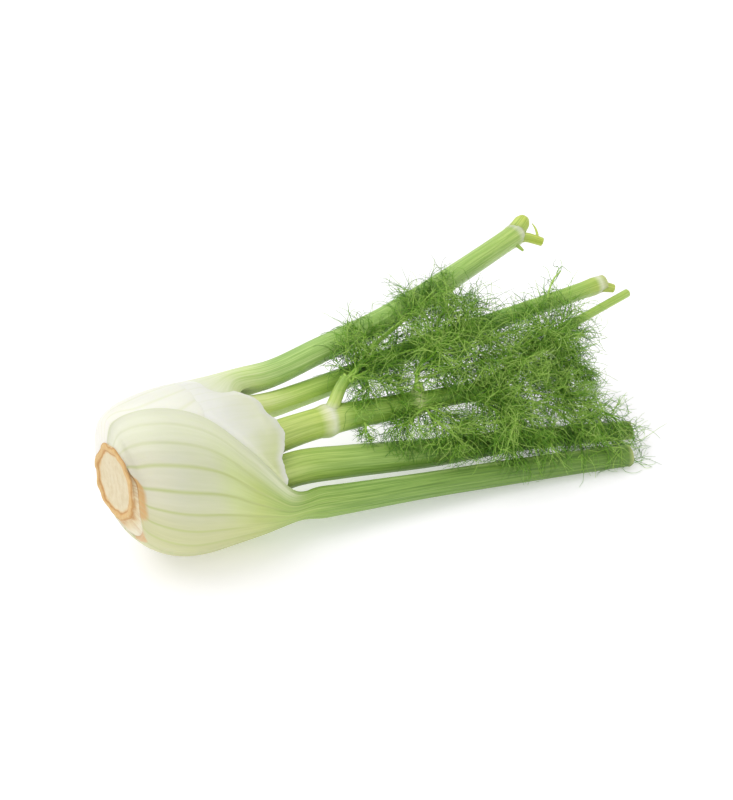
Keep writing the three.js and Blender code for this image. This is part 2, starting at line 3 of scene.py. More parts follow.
import bpy
import numpy as np
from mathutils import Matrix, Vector


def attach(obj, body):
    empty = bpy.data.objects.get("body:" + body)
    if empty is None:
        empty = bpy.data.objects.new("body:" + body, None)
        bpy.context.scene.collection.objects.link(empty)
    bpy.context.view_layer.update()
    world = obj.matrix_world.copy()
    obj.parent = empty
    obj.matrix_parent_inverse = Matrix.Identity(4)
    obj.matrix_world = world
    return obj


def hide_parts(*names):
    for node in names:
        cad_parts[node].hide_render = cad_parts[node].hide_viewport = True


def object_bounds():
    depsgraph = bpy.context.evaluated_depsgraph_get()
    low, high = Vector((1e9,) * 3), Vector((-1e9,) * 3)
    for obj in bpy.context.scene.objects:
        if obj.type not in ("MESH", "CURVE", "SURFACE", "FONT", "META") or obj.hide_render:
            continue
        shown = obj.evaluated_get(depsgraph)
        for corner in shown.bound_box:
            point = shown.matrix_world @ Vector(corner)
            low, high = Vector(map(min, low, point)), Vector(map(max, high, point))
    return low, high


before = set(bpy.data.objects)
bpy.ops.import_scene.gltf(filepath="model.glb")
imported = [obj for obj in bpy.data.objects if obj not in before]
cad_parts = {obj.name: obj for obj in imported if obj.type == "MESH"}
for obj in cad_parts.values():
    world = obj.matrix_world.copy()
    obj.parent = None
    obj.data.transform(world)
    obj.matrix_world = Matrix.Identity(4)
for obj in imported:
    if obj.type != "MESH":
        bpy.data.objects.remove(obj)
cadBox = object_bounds()
mm = 0.001

# The fan of stalks: its axis, its tilt from level, and where the flat spot lies along it (mm, degrees)
fan = {"axisY": 3.9, "axisZ": 40.1, "tilt": 38.0, "restX": 10.0}
acrossWay = np.array([0.0, math.cos(math.radians(fan["tilt"])), math.sin(math.radians(fan["tilt"]))])
towardWay = np.array([0.0, -math.sin(math.radians(fan["tilt"])), math.cos(math.radians(fan["tilt"]))])
# The flat spot's half sizes, and how its edge blends into the skin
flatSpot = {"along": 17, "aside": 14, "height": 3, "blend": (0.8, 1.4)}


def smoothStep(low, high, value):
    t = np.clip((value - low) / (high - low), 0, 1)
    return t * t * (3 - 2 * t)


def mix(a, b, share):
    return a + (b - a) * share


def through(rows):
    # a smooth curve through [place, value] rows, level beyond both ends
    place = np.array([row[0] for row in rows], float)
    value = np.array([row[1] for row in rows], float)
    slope = np.gradient(value)
    slope[1:-1] = (value[2:] - value[:-2]) / (place[2:] - place[:-2])
    slope[0] = (value[1] - value[0]) / (place[1] - place[0])
    slope[-1] = (value[-1] - value[-2]) / (place[-1] - place[-2])

    def read(at):
        at = np.asarray(at, float)
        i = np.clip(np.searchsorted(place, at, side="right") - 1, 0, len(place) - 2)
        span = place[i + 1] - place[i]
        t = np.clip((at - place[i]) / span, 0, 1)
        rise = t * t * (3 - 2 * t)
        lead = t * (1 - t) * (1 - t) * span * slope[i]
        trail = t * t * (t - 1) * span * slope[i + 1]
        return value[i] * (1 - rise) + value[i + 1] * rise + lead + trail

    return read


def fanPoint(x, up, out):
    x, up, out = np.broadcast_arrays(np.asarray(x, float), up, out)
    axisY, axisZ = np.full(x.shape, fan["axisY"]), np.full(x.shape, fan["axisZ"])
    foot = np.stack([x - fan["restX"], axisY, axisZ], -1)
    return foot + up[..., None] * acrossWay + out[..., None] * towardWay


def unit(v):
    return v / np.maximum(np.linalg.norm(v, axis=-1, keepdims=True), 1e-9)


def ripple(x, y, seed, size):
    # gentle unevenness: a few crossed waves with seeded headings, about -1 to 1
    rng = np.random.default_rng(seed)
    total = 0
    for _ in range(5):
        heading, phase = rng.uniform(0, 2 * math.pi, 2)
        length = size * rng.uniform(0.7, 1.6)
        place = x * math.cos(heading) + y * math.sin(heading)
        total = total + np.sin(place * 2 * math.pi / length + phase)
    return total / 5


# The bulb's own skin: half sizes up the fan, down it and across it, and the lean of its root end
skin = {
    "upper": through([[-34, 20], [-31, 27.5], [-27, 35], [-18, 40.5], [-6, 43.5], [8, 44], [25, 43],
                      [45, 42.5], [70, 41]]),
    "lower": through([[-34, 19], [-31, 25.2], [-28, 30], [-20, 37], [-8, 42], [5, 44], [20, 44.5],
                      [36, 45], [50, 44.5], [62, 43.5]]),
    "across": through([[-34, 20.5], [-31, 24], [-28, 26], [-22, 31.5], [-14, 36], [-4, 39], [8, 40],
                       [25, 36.5], [45, 27], [58, 20], [75, 16]]),
    "lean": through([[-34, 11.6], [-31, 8.6], [-28, 6.4], [-20, 4], [-10, 2], [2, 0.5], [12, 0]]),
}


def skinPoint(x, angle, depth):
    half = np.where(np.cos(angle) > 0, skin["upper"](x), skin["lower"](x))
    up = (half - depth) * np.cos(angle)
    out = skin["lean"](x) + (skin["across"](x) - depth) * np.sin(angle)
    return fanPoint(x, up, out)


def routeOf(rows):
    up = through([[row[0], row[1]] for row in rows])
    out = through([[row[0], row[2]] for row in rows])

    def at(x):
        return fanPoint(x, up(x), out(x))

    def axes(x):
        heading = unit(at(x + 0.5) - at(x - 0.5))
        upward = unit(acrossWay - heading * (heading @ acrossWay)[..., None])
        outward = np.cross(heading, upward)
        return upward, outward * np.sign(outward @ towardWay)[..., None]

    return at, axes


def makeMesh(name, points, faces, **values):
    # points in mm; faces is one array or a list of them; values are kept on the points for the materials
    mesh = bpy.data.meshes.new(name)
    mesh.vertices.add(len(points))
    mesh.vertices.foreach_set("co", (np.asarray(points, float) * mm).astype(np.float32).ravel())
    groups = faces if isinstance(faces, list) else [faces]
    groups = [np.asarray(group, np.int32) for group in groups]
    corners = np.concatenate([np.full(len(group), group.shape[1]) for group in groups])
    mesh.loops.add(int(corners.sum()))
    mesh.loops.foreach_set("vertex_index", np.concatenate([group.ravel() for group in groups]))
    mesh.polygons.add(len(corners))
    mesh.polygons.foreach_set("loop_start", (np.cumsum(corners) - corners).astype(np.int32))
    mesh.update(calc_edges=True)
    for key, numbers in values.items():
        layer = mesh.attributes.new(key, "FLOAT", "POINT")
        layer.data.foreach_set("value", np.asarray(numbers, np.float32).ravel())
    mesh.validate()
    piece = bpy.data.objects.new(name, mesh)
    bpy.context.scene.collection.objects.link(piece)
    return piece


def ringFaces(rings, count):
    row = np.arange(rings - 1)[:, None] * count
    a = row + np.arange(count)[None, :]
    b = row + (np.arange(count)[None, :] + 1) % count
    return np.stack([a, b, b + count, a + count], -1).reshape(-1, 4)


def stripEnd(start, count):
    # closes a ring that runs along an outer face and back along an inner one
    k = np.arange(count // 2 - 1)
    return np.stack([start + k, start + count - 1 - k, start + count - 2 - k, start + k + 1], -1)


def roundEnd(start, count):
    # closes a round ring with a fan of four-sided faces
    return start + np.array([[0, k, k + 1, k + 2] for k in range(1, count - 2, 2)])


def closedFaces(grid, end):
    # the faces of a closed piece whose points stand in rings, turned so that they point outwards
    rings, count = grid.shape[:2]
    points = grid.reshape(-1, 3)
    ends = [end(0, count)[:, ::-1], end((rings - 1) * count, count)]
    faces = np.concatenate([ringFaces(rings, count)] + ends)
    corner = points[faces[:, :3]]
    volume = np.einsum("ij,ij->i", corner[:, 0], np.cross(corner[:, 1], corner[:, 2])).sum()
    return faces if volume > 0 else faces[:, ::-1]


def makeShell(name, grid, end, **values):
    values = {key: np.broadcast_to(numbers, grid.shape[:2]) for key, numbers in values.items()}
    return makeMesh(name, grid.reshape(-1, 3), closedFaces(grid, end), **values)


def thereAndBack(outer, inner):
    # rings that run along an outer face and back along an inner one
    return np.concatenate([outer, inner[:, ::-1]], 1)


def selectOnly(piece):
    bpy.ops.object.select_all(action="DESELECT")
    piece.select_set(True)
    bpy.context.view_layer.objects.active = piece


def smoothShade(piece, angle=50):
    selectOnly(piece)
    bpy.ops.object.shade_smooth_by_angle(angle=math.radians(angle))


# How every leaf is shaped: how far the two faces wrap round the stalk (degrees), how the wall
# thins at the root end and rounds at its rims, and how it tucks under the lower leaf (mm)
sheathWrap = {
    "outer": 138.0, "inner": 144.0, "channel": 0.12, "hump": 2.4, "thinnest": 0.4,
    "rootThinning": 0.28, "thinLength": 18, "setBackLength": 26,
    "rimRounding": 0.55, "rim": (0.88, 1), "sinkRim": (0.72, 1), "sinkAlong": (-6, 18),
    "waveRim": (0.6, 1), "waveSize": 34,
    "tuck": 0.25, "coverRim": (0.97, 1.09), "coverAlong": (40, 60),
}
# The ribs: how wide their grooves are, how they sway, where they fade, and the slow swells of the skin
ribForm = {
    "grooveWidth": 0.1, "sway": 0.16, "swaySize": 9, "rise": (-2, 12), "fade": 0.7,
    "fadeAlong": (14, 42), "quietRim": (0.86, 1), "swell": 0.22, "swellSize": 30,
}
# What the materials read: the uneven brown cut at the root, and the pale joint at the far end (mm)
cutForm = {"uneven": 0.5, "unevenSize": 7, "joint": 0.8, "jointWidth": 1.7, "tip": 1.2}

# The leaves, from the outermost one inwards. Each is a sheath that narrows into a stalk, in mm along
# the bulb and degrees round it, and its route gives place along, up and out in the fan.
lowerLeaf = {
    "name": "lowerLeaf", "node": "outer_stalk_lower", "slot": "outer_leaf",
    "side": -1, "middle": 5.5, "rootEnd": -33.9, "parting": (44, 70),
    "arc": through([[-34, 146], [-17, 131], [0, 117], [12, 103], [24, 82], [32, 70], [38.5, 59],
                    [46, 46], [60, 30]]),
    "depth": through([[-40, 0], [300, 0]]),
    "edge": through([[-34, 1.2], [60, 1.2]]),
    "setBack": through([[-146, 0], [-60, 3], [-25, 4.4], [0, 4.2], [26, 2.3], [47, 2.2], [63, 2.7],
                        [71, 2.5], [79, 1.4], [97, 0.6], [115, 0.2], [146, 0]]),
    "brownEdge": through([[-146, 0.05], [-30, 0.05], [-20, 2.2], [-8, 2.4], [0, 0.5], [22, 0.6],
                          [30, 2.8], [48, 3.4], [64, 3.2], [72, 1.6], [78, 0.2], [90, 0.05],
                          [146, 0.05]]),
    "route": [[36.7, -36, 1.1], [52.8, -37.3, 0.4], [81.8, -42.3, 1], [125.8, -50.6, 3.8],
              [171.6, -59.6, 6.9], [206.5, -67.4, 10.9], [239.3, -75.3, 15.3]],
    "thick": through([[36, 8.9], [55, 8.6], [82, 7.9], [126, 6.9], [172, 6.8], [240, 6.1]]),
    "wide": through([[36, 11], [55, 10], [82, 8.6], [126, 7.4], [172, 7], [240, 6.2]]),
    "ribs": 15, "sheathRib": 0.42, "stalkRib": 0.17, "marginSink": 0.0, "marginWave": 0.4,
    "from": -33.9, "to": 239.3, "collar": -99, "rings": 210, "around": 110, "seed": 3,
}
# a root edge that is cut straight and isn't brown
straightCut = {
    "setBack": through([[-180, 0], [180, 0]]), "brownEdge": through([[-180, 0.05], [180, 0.05]]),
}
upperLeaf = {
    "name": "upperLeaf", "node": "outer_stalk_upper", "slot": "outer_leaf",
    "side": 1, "middle": 7.0, "rootEnd": -33.9, "parting": (30, 66),
    "arc": through([[-34, 62], [-26, 70], [-16, 106], [-8, 114], [4, 112], [14, 104], [24, 92],
                    [34, 78], [42, 66], [50, 54], [60, 44], [70, 36]]),
    "depth": through([[-40, 0.5], [300, 0.5]]),
    "edge": through([[-34, 6], [2, 6], [22, 1.8], [60, 1.8]]),
    **straightCut,
    "route": [[30, 36, 0], [48.1, 35.2, 1], [72.3, 33.4, 3], [104, 37.1, 5.2], [136.1, 40.6, 7.6],
              [172, 47.8, 8], [213.1, 59.1, 4.5], [255.6, 71.6, 0.1]],
    "thick": through([[30, 8], [50, 7.6], [72, 7.2], [104, 7.1], [172, 6.8], [222, 6.5], [248, 6.5],
                      [252, 7], [255.6, 6]]),
    "wide": through([[30, 11], [50, 10], [72, 8.4], [104, 7.4], [172, 6.7], [222, 6.3], [248, 6.3],
                     [252, 6.9], [255.6, 6]]),
    "ribs": 14, "sheathRib": 0.12, "stalkRib": 0.16, "marginSink": 1.2, "marginWave": 0.0,
    "from": -33.9, "to": 255.6, "collar": 252.5, "rings": 220, "around": 90, "seed": 5,
}
innerLeaf = {
    **straightCut, "slot": "inner_stalk", "middle": 6.5, "rootEnd": -22, "parting": (8, 42),
    "arc": through([[-30, 86], [20, 84], [40, 50], [60, 30]]),
    "depth": through([[-30, 11], [10, 9.9], [26, 6.5], [40, 4], [60, 3.4]]),
    "edge": through([[-34, 2.5], [60, 2.5]]),
    "sheathRib": 0.0, "marginSink": 0.0, "marginWave": 0.0, "from": -22,
}
frontLeaf = {
    **innerLeaf, "name": "frontLeaf", "node": "inner_stalk_front", "side": -1,
    "route": [[22, -22, 1], [58.7, -18.9, 2.4], [87.6, -22.8, 0.4], [137.9, -33.9, 0.8],
              [185.9, -42.3, 0.4], [222.2, -50.3, 0.3], [256.9, -59.1, 1.9]],
    "thick": through([[22, 9], [58, 9], [95, 8.6], [138, 7.8], [186, 6.2], [257, 5.3]]),
    "wide": through([[22, 20], [42, 15], [58, 11.5], [95, 9], [138, 7.8], [186, 6.2], [257, 5.4]]),
    "ribs": 14, "stalkRib": 0.15, "to": 256.9, "collar": -99, "rings": 170, "around": 64, "seed": 7,
}
backLeaf = {
    **innerLeaf, "name": "backLeaf", "node": "inner_stalk_back", "side": 1,
    "route": [[22, 22, -1], [64.2, 19.2, -2.6], [85.4, 19.5, -2.8], [116.8, 20.9, -2],
              [148.9, 23, 0.2], [181.3, 24, 2.8], [212.6, 23, 7.2], [244.6, 22.4, 11.6],
              [279.6, 22.2, 15.9]],
    "thick": through([[22, 9], [58, 6.9], [85, 6.4], [149, 5.7], [213, 5.1], [266, 4.8], [273, 5.2],
                      [279.6, 4.8]]),
    "wide": through([[22, 20], [42, 14], [58, 10], [85, 7.6], [149, 6.3], [213, 5.7], [266, 5.1],
                     [273, 5.6], [279.6, 5.1]]),
    "ribs": 12, "stalkRib": 0.14, "to": 279.6, "collar": 277.0, "rings": 180, "around": 56, "seed": 9,
}


def leafThickness(leaf, x, c):
    hump = 1 - np.minimum(np.abs(c), 1) ** sheathWrap["hump"]
    thickness = leaf["edge"](x) + (leaf["middle"] - leaf["edge"](x)) * hump
    full = smoothStep(leaf["rootEnd"], leaf["rootEnd"] + sheathWrap["thinLength"], x)
    return thickness * mix(sheathWrap["rootThinning"], 1, full)


def tuckedUnder(x, angle, depth):
    # lets a surface dip below the lower leaf wherever that leaf lies over it
    c = (180 - np.abs(np.degrees(angle))) / lowerLeaf["arc"](x)
    cover = (1 - smoothStep(*sheathWrap["coverRim"], c)) * (1 - smoothStep(*sheathWrap["coverAlong"], x))
    return np.maximum(depth, mix(depth, leafThickness(lowerLeaf, x, c) + sheathWrap["tuck"], cover))


def leafFace(leaf, x, c, outer):
    # one face of a leaf on a grid: x along the bulb, c from one margin (-1) to the other (1)
    at, axes = routeOf(leaf["route"])
    rim = np.abs(c)
    parted = smoothStep(*leaf["parting"], x)
    arc = np.radians(leaf["arc"](x))
    angle = arc * c if leaf["side"] > 0 else math.pi - arc * c
    thickness = leafThickness(leaf, x, c)
    nearRoot = 1 - smoothStep(leaf["rootEnd"], leaf["rootEnd"] + sheathWrap["setBackLength"], x)
    slant = leaf["setBack"](np.degrees(arc) * c) * nearRoot
    sink = leaf["marginSink"] * smoothStep(*sheathWrap["sinkRim"], rim)
    sink = sink * smoothStep(*sheathWrap["sinkAlong"], x)
    depth = leaf["depth"](x) + sink
    if leaf is upperLeaf:
        depth = tuckedUnder(x, angle, depth)
    if outer:
        depth = depth + sheathWrap["rimRounding"] * smoothStep(*sheathWrap["rim"], rim) ** 2
    else:
        depth = depth + np.maximum(thickness - sink * 0.6, sheathWrap["thinnest"])
    wave = leaf["marginWave"] * smoothStep(*sheathWrap["waveRim"], rim)
    wave = wave * ripple(x, c * 30, leaf["seed"], sheathWrap["waveSize"])
    sheath = skinPoint(x + slant + 0 * c, angle, depth - wave)
    upward, outward = axes(x + 0 * c)
    turn = np.radians(sheathWrap["outer"] * c if outer else 180 - (180 - sheathWrap["inner"]) * c)
    hollow = 1 if outer else 1 - sheathWrap["channel"] * (1 - c * c)
    lift = leaf["thick"](x) * hollow * np.cos(turn) * leaf["side"]
    middle = at(x + 0 * c)
    stalk = middle + upward * lift[..., None] + outward * (leaf["wide"](x) * np.sin(turn))[..., None]
    point = mix(sheath, stalk, parted[..., None])
    if not outer:
        return point, None
    sway = ripple(c * 20, x * 0.12, leaf["seed"] + 1, ribForm["swaySize"])
    phase = leaf["ribs"] * (c + 1) / 2 + ribForm["sway"] * sway
    groove = np.exp(-(np.abs(phase - np.round(phase)) / ribForm["grooveWidth"]) ** 2)
    swell = 0.5 + 0.5 * np.cos((phase - np.round(phase)) * 2 * math.pi)
    height = leaf["sheathRib"] * smoothStep(*(leaf["rootEnd"] + place for place in ribForm["rise"]), x)
    height = height * (1 - ribForm["fade"] * smoothStep(*ribForm["fadeAlong"], x))
    height = mix(height, leaf["stalkRib"], parted)
    quiet = 1 - smoothStep(*ribForm["quietRim"], rim) * (1 - parted)
    flat = restFlatness(x, skinPoint(x + 0 * c, angle, 0))
    relief = -(0.5 * groove + 0.5 * swell) * height * quiet * flat
    slow = ripple(x, np.degrees(angle) * 0.7, leaf["seed"] + 2, ribForm["swellSize"])
    relief = relief + ribForm["swell"] * slow * (1 - parted) * flat
    away = unit(mix(unit(sheath - fanPoint(x + 0 * c, 0, 0)), unit(stalk - middle), parted[..., None]))
    return point + away * relief[..., None], phase


def restFlatness(x, point):
    # 0 on the flat spot under the bulb and 1 away from it
    along = (x - fan["restX"]) / flatSpot["along"]
    aside = point[..., 1] / flatSpot["aside"]
    height = np.maximum(point[..., 2], 0) / flatSpot["height"]
    return smoothStep(*flatSpot["blend"], np.sqrt(along ** 2 + aside ** 2 + height ** 2))


def spacing(leaf):
    # rings close together over the sheath and the parting, further apart along the stalk
    bend = leaf["parting"][1] + 6
    sheathShare = 0.62
    first = np.linspace(leaf["from"], bend, int(leaf["rings"] * sheathShare), endpoint=False)
    return np.concatenate([first, np.linspace(bend, leaf["to"], leaf["rings"] - len(first))])


def makeLeaf(leaf):
    x = spacing(leaf)[:, None]
    c = np.linspace(-1, 1, leaf["around"])[None, :]
    outer, phase = leafFace(leaf, x, c, True)
    inner, _ = leafFace(leaf, x, c, False)
    grid = thereAndBack(outer, inner)
    grid[..., 2] = np.maximum(grid[..., 2], 0)
    both = thereAndBack(c, c)
    # the cut edge at the root is brown, broadly so beside the ring, and the joint at the far end is pale
    uneven = 1 + cutForm["uneven"] * ripple(both * 40, 0 * both, leaf["seed"], cutForm["unevenSize"])
    cutWidth = leaf["brownEdge"](leaf["arc"](x) * both) * uneven
    rootCut = (1 - smoothStep(0.5, 1, (x - leaf["from"]) / cutWidth)) * smoothStep(0, 0.8, cutWidth)
    joint = cutForm["joint"] * np.exp(-((x - leaf["collar"]) / cutForm["jointWidth"]) ** 2)
    tip = smoothStep(-cutForm["tip"], 0, x - leaf["to"])
    return makeShell(leaf["name"], grid, stripEnd, along=x, around=both,
                     rib=thereAndBack(phase, phase), rootCut=rootCut, torn=joint, tip=tip)


# The thin torn membranes of the upper leaf, one on each face of the bulb
membranes = {
    "name": "tornMembranes", "node": "outer_stalk_upper", "slot": "outer_leaf",
    "depth": 0.15, "thick": 1.3, "edgeThinning": 0.6, "rootX": 1.0, "from": 14, "to": 142,
    "rows": 70, "columns": 160,
    # how far each reaches along the bulb, by its place round it (degrees)
    "front": through([[14, 30], [30, 35], [45, 39], [56, 40.5], [63, 42.5], [66, 46], [73, 49.5],
                      [82, 52.5], [87, 55.5], [94, 55.2], [101, 53.5], [108, 51], [115, 49],
                      [122, 48], [130, 47], [137, 45.5], [142, 44]]),
    "back": through([[14, 30], [30, 36], [44, 43], [56, 49], [68, 53], [80, 55], [94, 54.5],
                     [106, 52], [118, 50], [130, 48], [142, 45]]),
    # the tear's waves (height, pitch, start), and the other amounts in mm
    "tear": [(0.9, 0.2, 0.6), (0.4, 0.53, 1), (0.14, 1.7, 0)],
    "rootDive": 2.2, "stalkDive": 2.2, "lipDive": 3.4, "fold": 0.35, "closing": 2.6,
    "crumple": 0.5, "fineCrumple": 0.3,
}


def makeMembrane(name, side, face):
    degrees = np.linspace(membranes["from"], membranes["to"], membranes["columns"])[None, :]
    row = np.linspace(0, 1, membranes["rows"])[:, None]
    tear = sum(height * np.sin(degrees * pitch + start) for height, pitch, start in membranes["tear"])
    tear = tear * smoothStep(55, 66, degrees)
    x = mix(membranes["rootX"], membranes[side](degrees) + tear, row)
    angle = np.radians(degrees) * face
    # both its root edge and its edge beside the stalk dive under the leaf, so neither shows
    dive = membranes["rootDive"] * (1 - smoothStep(0, 17, x - membranes["rootX"]))
    dive = dive + membranes["stalkDive"] * (1 - smoothStep(14, 31, degrees))
    dive = dive + membranes["lipDive"] * smoothStep(0.5, 1, row) * (1 - smoothStep(46, 66, degrees))
    fold = -membranes["fold"] * (1 + np.sin(degrees * 0.2 + 0.03 * x)) * smoothStep(14, 40, x)
    free = smoothStep(58, 84, degrees) * smoothStep(22, 44, x)
    crumple = membranes["crumple"] * ripple(x * 0.7, degrees, 31, 24) * free
    crumple = crumple + membranes["fineCrumple"] * ripple(x, degrees, 33, 11) * free * row ** 3
    closing = membranes["closing"] * smoothStep(34, 50, x) * smoothStep(98, 128, degrees)
    depth = tuckedUnder(x, angle, membranes["depth"] + dive + fold + crumple + closing)
    thin = membranes["thick"] * (1 - membranes["edgeThinning"] * smoothStep(0.9, 1, row))
    grid = thereAndBack(skinPoint(x, angle, depth), skinPoint(x, angle, depth + thin))
    both = thereAndBack(degrees, degrees)
    return makeShell(name, grid, stripEnd, along=thereAndBack(x, x), around=both / 90,
                     rib=both / 8, torn=smoothStep(0.86, 1, row))


def tubeRings(path, radius, sides):
    # rings round a line of points, each at right angles to the way the line runs there
    path = np.asarray(path, float)
    heading = unit(np.gradient(path, axis=-2))
    steep = np.abs(heading[..., :1, 2:3]) >= 0.8
    helper = np.where(steep, np.array([0.0, 1, 0]), np.array([0.0, 0, 1]))
    normal = unit(np.cross(helper, heading[..., :1, :]))
    normals = [normal[..., 0, :]]
    for i in range(1, path.shape[-2]):
        last = normals[-1]
        turned = last - heading[..., i, :] * np.sum(last * heading[..., i, :], -1, keepdims=True)
        normals.append(unit(turned))
    normal = np.stack(normals, -2)
    side = np.cross(heading, normal)
    turn = np.arange(sides) / sides * 2 * math.pi
    radius = np.asarray(radius, float)[..., None, None]
    ring = normal[..., None, :] * np.cos(turn)[:, None] + side[..., None, :] * np.sin(turn)[:, None]
    return path[..., None, :] + ring * radius


def curveThrough(rows, steps):
    # a smooth line through a few points
    rows = np.asarray(rows, float)
    ends = np.concatenate([[2 * rows[0] - rows[1]], rows, [2 * rows[-1] - rows[-2]]])
    t = np.linspace(0, len(rows) - 1, steps)
    i = np.minimum(t.astype(int), len(rows) - 2)
    s = (t - i)[:, None]
    a, b, c, d = ends[i], ends[i + 1], ends[i + 2], ends[i + 3]
    bend, turn = 2 * a - 5 * b + 4 * c - d, 3 * b - a - 3 * c + d
    return 0.5 * (2 * b + (c - a) * s + bend * s ** 2 + turn * s ** 3)


# Round stems: points round them and along them, and the cut end as (share of the radius, lift in mm)
stemForm = {"sides": 28, "steps": 40, "cutEnd": [(0.93, 0.25), (0.6, 0.15), (0.02, 0.0)], "start": 0.02}


def stemRings(route, radius):
    path = curveThrough([fanPoint(*row) for row in route], stemForm["steps"])
    along = np.linspace(0, len(radius) - 1, stemForm["steps"])
    size = np.interp(along, np.arange(len(radius)), radius)
    rings = tubeRings(path, size, stemForm["sides"])
    push = unit(path[-1] - path[-2])
    cut = [rings[-1] * share + path[-1] * (1 - share) + push * lift
           for share, lift in stemForm["cutEnd"]]
    start = rings[:1] * stemForm["start"] + path[0] * (1 - stemForm["start"])
    return np.concatenate([start, rings, np.stack(cut)])


def gatherStems(name, stems):
    grids = [stemRings(route, radius) for route, radius in stems]
    rings, count = grids[0].shape[:2]
    faces = [closedFaces(grid, roundEnd) + k * rings * count for k, grid in enumerate(grids)]
    grid = np.concatenate(grids)
    along = np.repeat(grid[..., 0].mean(1) + fan["restX"], count)
    around = np.tile(np.linspace(-1, 1, count), len(grid))
    tip = np.tile(np.repeat(np.arange(rings) >= rings - len(stemForm["cutEnd"]), count), len(grids))
    return makeMesh(name, grid.reshape(-1, 3), faces, along=along, around=around,
                    rib=(around + 1) * 6, tip=tip)


# The heart: the core of the bulb, its jointed stalk, and what grows from it
heart = {
    "name": "heartStalk", "node": "heart_stalk", "slot": "heart_stem", "from": -22, "to": 171.8,
    "rings": 170, "around": 64, "ribs": 13, "rib": 0.13, "sway": 0.1,
    "route": [[-22, 0, 0], [30, -2, 1], [64.8, 0, 2.9], [91.6, -0.5, 3.3], [116.2, -4.4, 6.3],
              [139.4, -8.4, 9.5], [158.2, -11.1, 11.6], [171.8, -14, 13.9]],
    "thick": through([[-22, 12], [-4, 19], [10, 21], [26, 17], [44, 9.6], [60, 8.5], [84, 8],
                      [90, 8.9], [96, 7.6], [134, 6.6], [139, 7.3], [143, 5.8], [171, 5]]),
    "wide": through([[-22, 11], [-4, 16], [10, 17], [26, 16], [44, 12], [60, 10.5], [84, 8.8],
                     [90, 9.6], [96, 8.2], [134, 6.8], [139, 7.5], [143, 6], [171, 5]]),
    # each branch or stub: points on its way, and its radius at even steps along it
    "branches": [
        ([[88, 0, 5], [93, 4, 9], [100, 11, 12], [106, 15.4, 13.5]], [4.6, 3.6, 3.2, 3]),
        ([[137, -8, 10], [139, -4, 14], [142, 0, 17]], [3.4, 2.8, 2.3]),
        ([[166, -12.5, 12.8], [182, -11.5, 14.6], [197.4, -8.8, 14.9], [226.3, 0.1, 14.9],
          [256.5, 6.6, 14.9], [292.2, 12.9, 14.4]], [3.8, 3, 2.7, 2.5, 2.4, 2.4]),
    ],
}
upperStubs = [
    ([[250, 70.5, 1], [256, 74, 1.5], [260, 76.6, 2], [262.4, 78.2, 2.2]], [5.6, 5.1, 4.7, 3.4]),
    ([[250, 68, 2], [256.6, 67, 2.8], [260.5, 64.6, 3.2], [265.1, 61.4, 3.2]], [3.2, 2.8, 2.7, 2.5]),
    ([[263, 63.5, 3.4], [264.8, 67, 3.4], [265.6, 70.5, 3.2], [265.4, 73.6, 3]], [1.1, 0.75, 0.55, 0.3]),
    ([[249.6, 64, 2], [250.8, 61.6, 2], [251.6, 60, 2]], [1.2, 1, 0.7]),
]
backStubs = [([[274, 22, 15.4], [280, 19.5, 15.9], [284, 17.5, 16]], [3.2, 2.9, 2.4])]


def makeHeart():
    at, axes = routeOf(heart["route"])
    x = np.linspace(heart["from"], heart["to"], heart["rings"])[:, None]
    c = np.linspace(-1, 1, heart["around"], endpoint=False)[None, :]
    upward, outward = axes(x + 0 * c)
    turn = math.pi * (c + 1)
    phase = heart["ribs"] * (c + 1) / 2 + heart["sway"] * np.sin(x * 0.05 + turn)
    rib = -heart["rib"] * (0.5 + 0.5 * np.cos(phase * 2 * math.pi))
    point = at(x + 0 * c) + upward * ((heart["thick"](x) + rib) * np.cos(turn))[..., None]
    point = point + outward * ((heart["wide"](x) + rib) * np.sin(turn))[..., None]
    return makeShell(heart["name"], point, roundEnd, along=x, around=c, rib=phase, tip=0)


# The young leaf bases that fill the throat, rounded off below the torn edge
core = {
    "name": "youngLeaves", "from": 6.0, "to": 49.0, "inset": 7.5, "furrows": 12, "furrowDepth": 0.05,
    "roundness": 0.6, "point": 0.005, "rings": 40, "around": 144,
}


def makeCore():
    row = np.linspace(0, 1, core["rings"])[:, None]
    x = core["from"] + (core["to"] - core["from"]) * np.sin(row * math.pi / 2)
    c = np.linspace(-1, 1, core["around"], endpoint=False)[None, :]
    turn = math.pi * (c + 1)
    phase = core["furrows"] * (c + 1) / 2
    furrow = 1 - core["furrowDepth"] * np.cos(phase * 2 * math.pi)
    size = np.maximum(np.cos(row * math.pi / 2), core["point"]) ** core["roundness"] * furrow
    half = np.where(np.cos(turn) > 0, skin["upper"](x), skin["lower"](x)) - core["inset"]
    out = skin["lean"](x) + (skin["across"](x) - core["inset"]) * size * np.sin(turn)
    grid = fanPoint(x + 0 * c, half * size * np.cos(turn), out)
    return makeShell(core["name"], grid, roundEnd, along=x, around=c, rib=phase, tip=0)


def joined(first, *others):
    selectOnly(first)
    for piece in others:
        piece.select_set(True)
    bpy.ops.object.join()
    return first


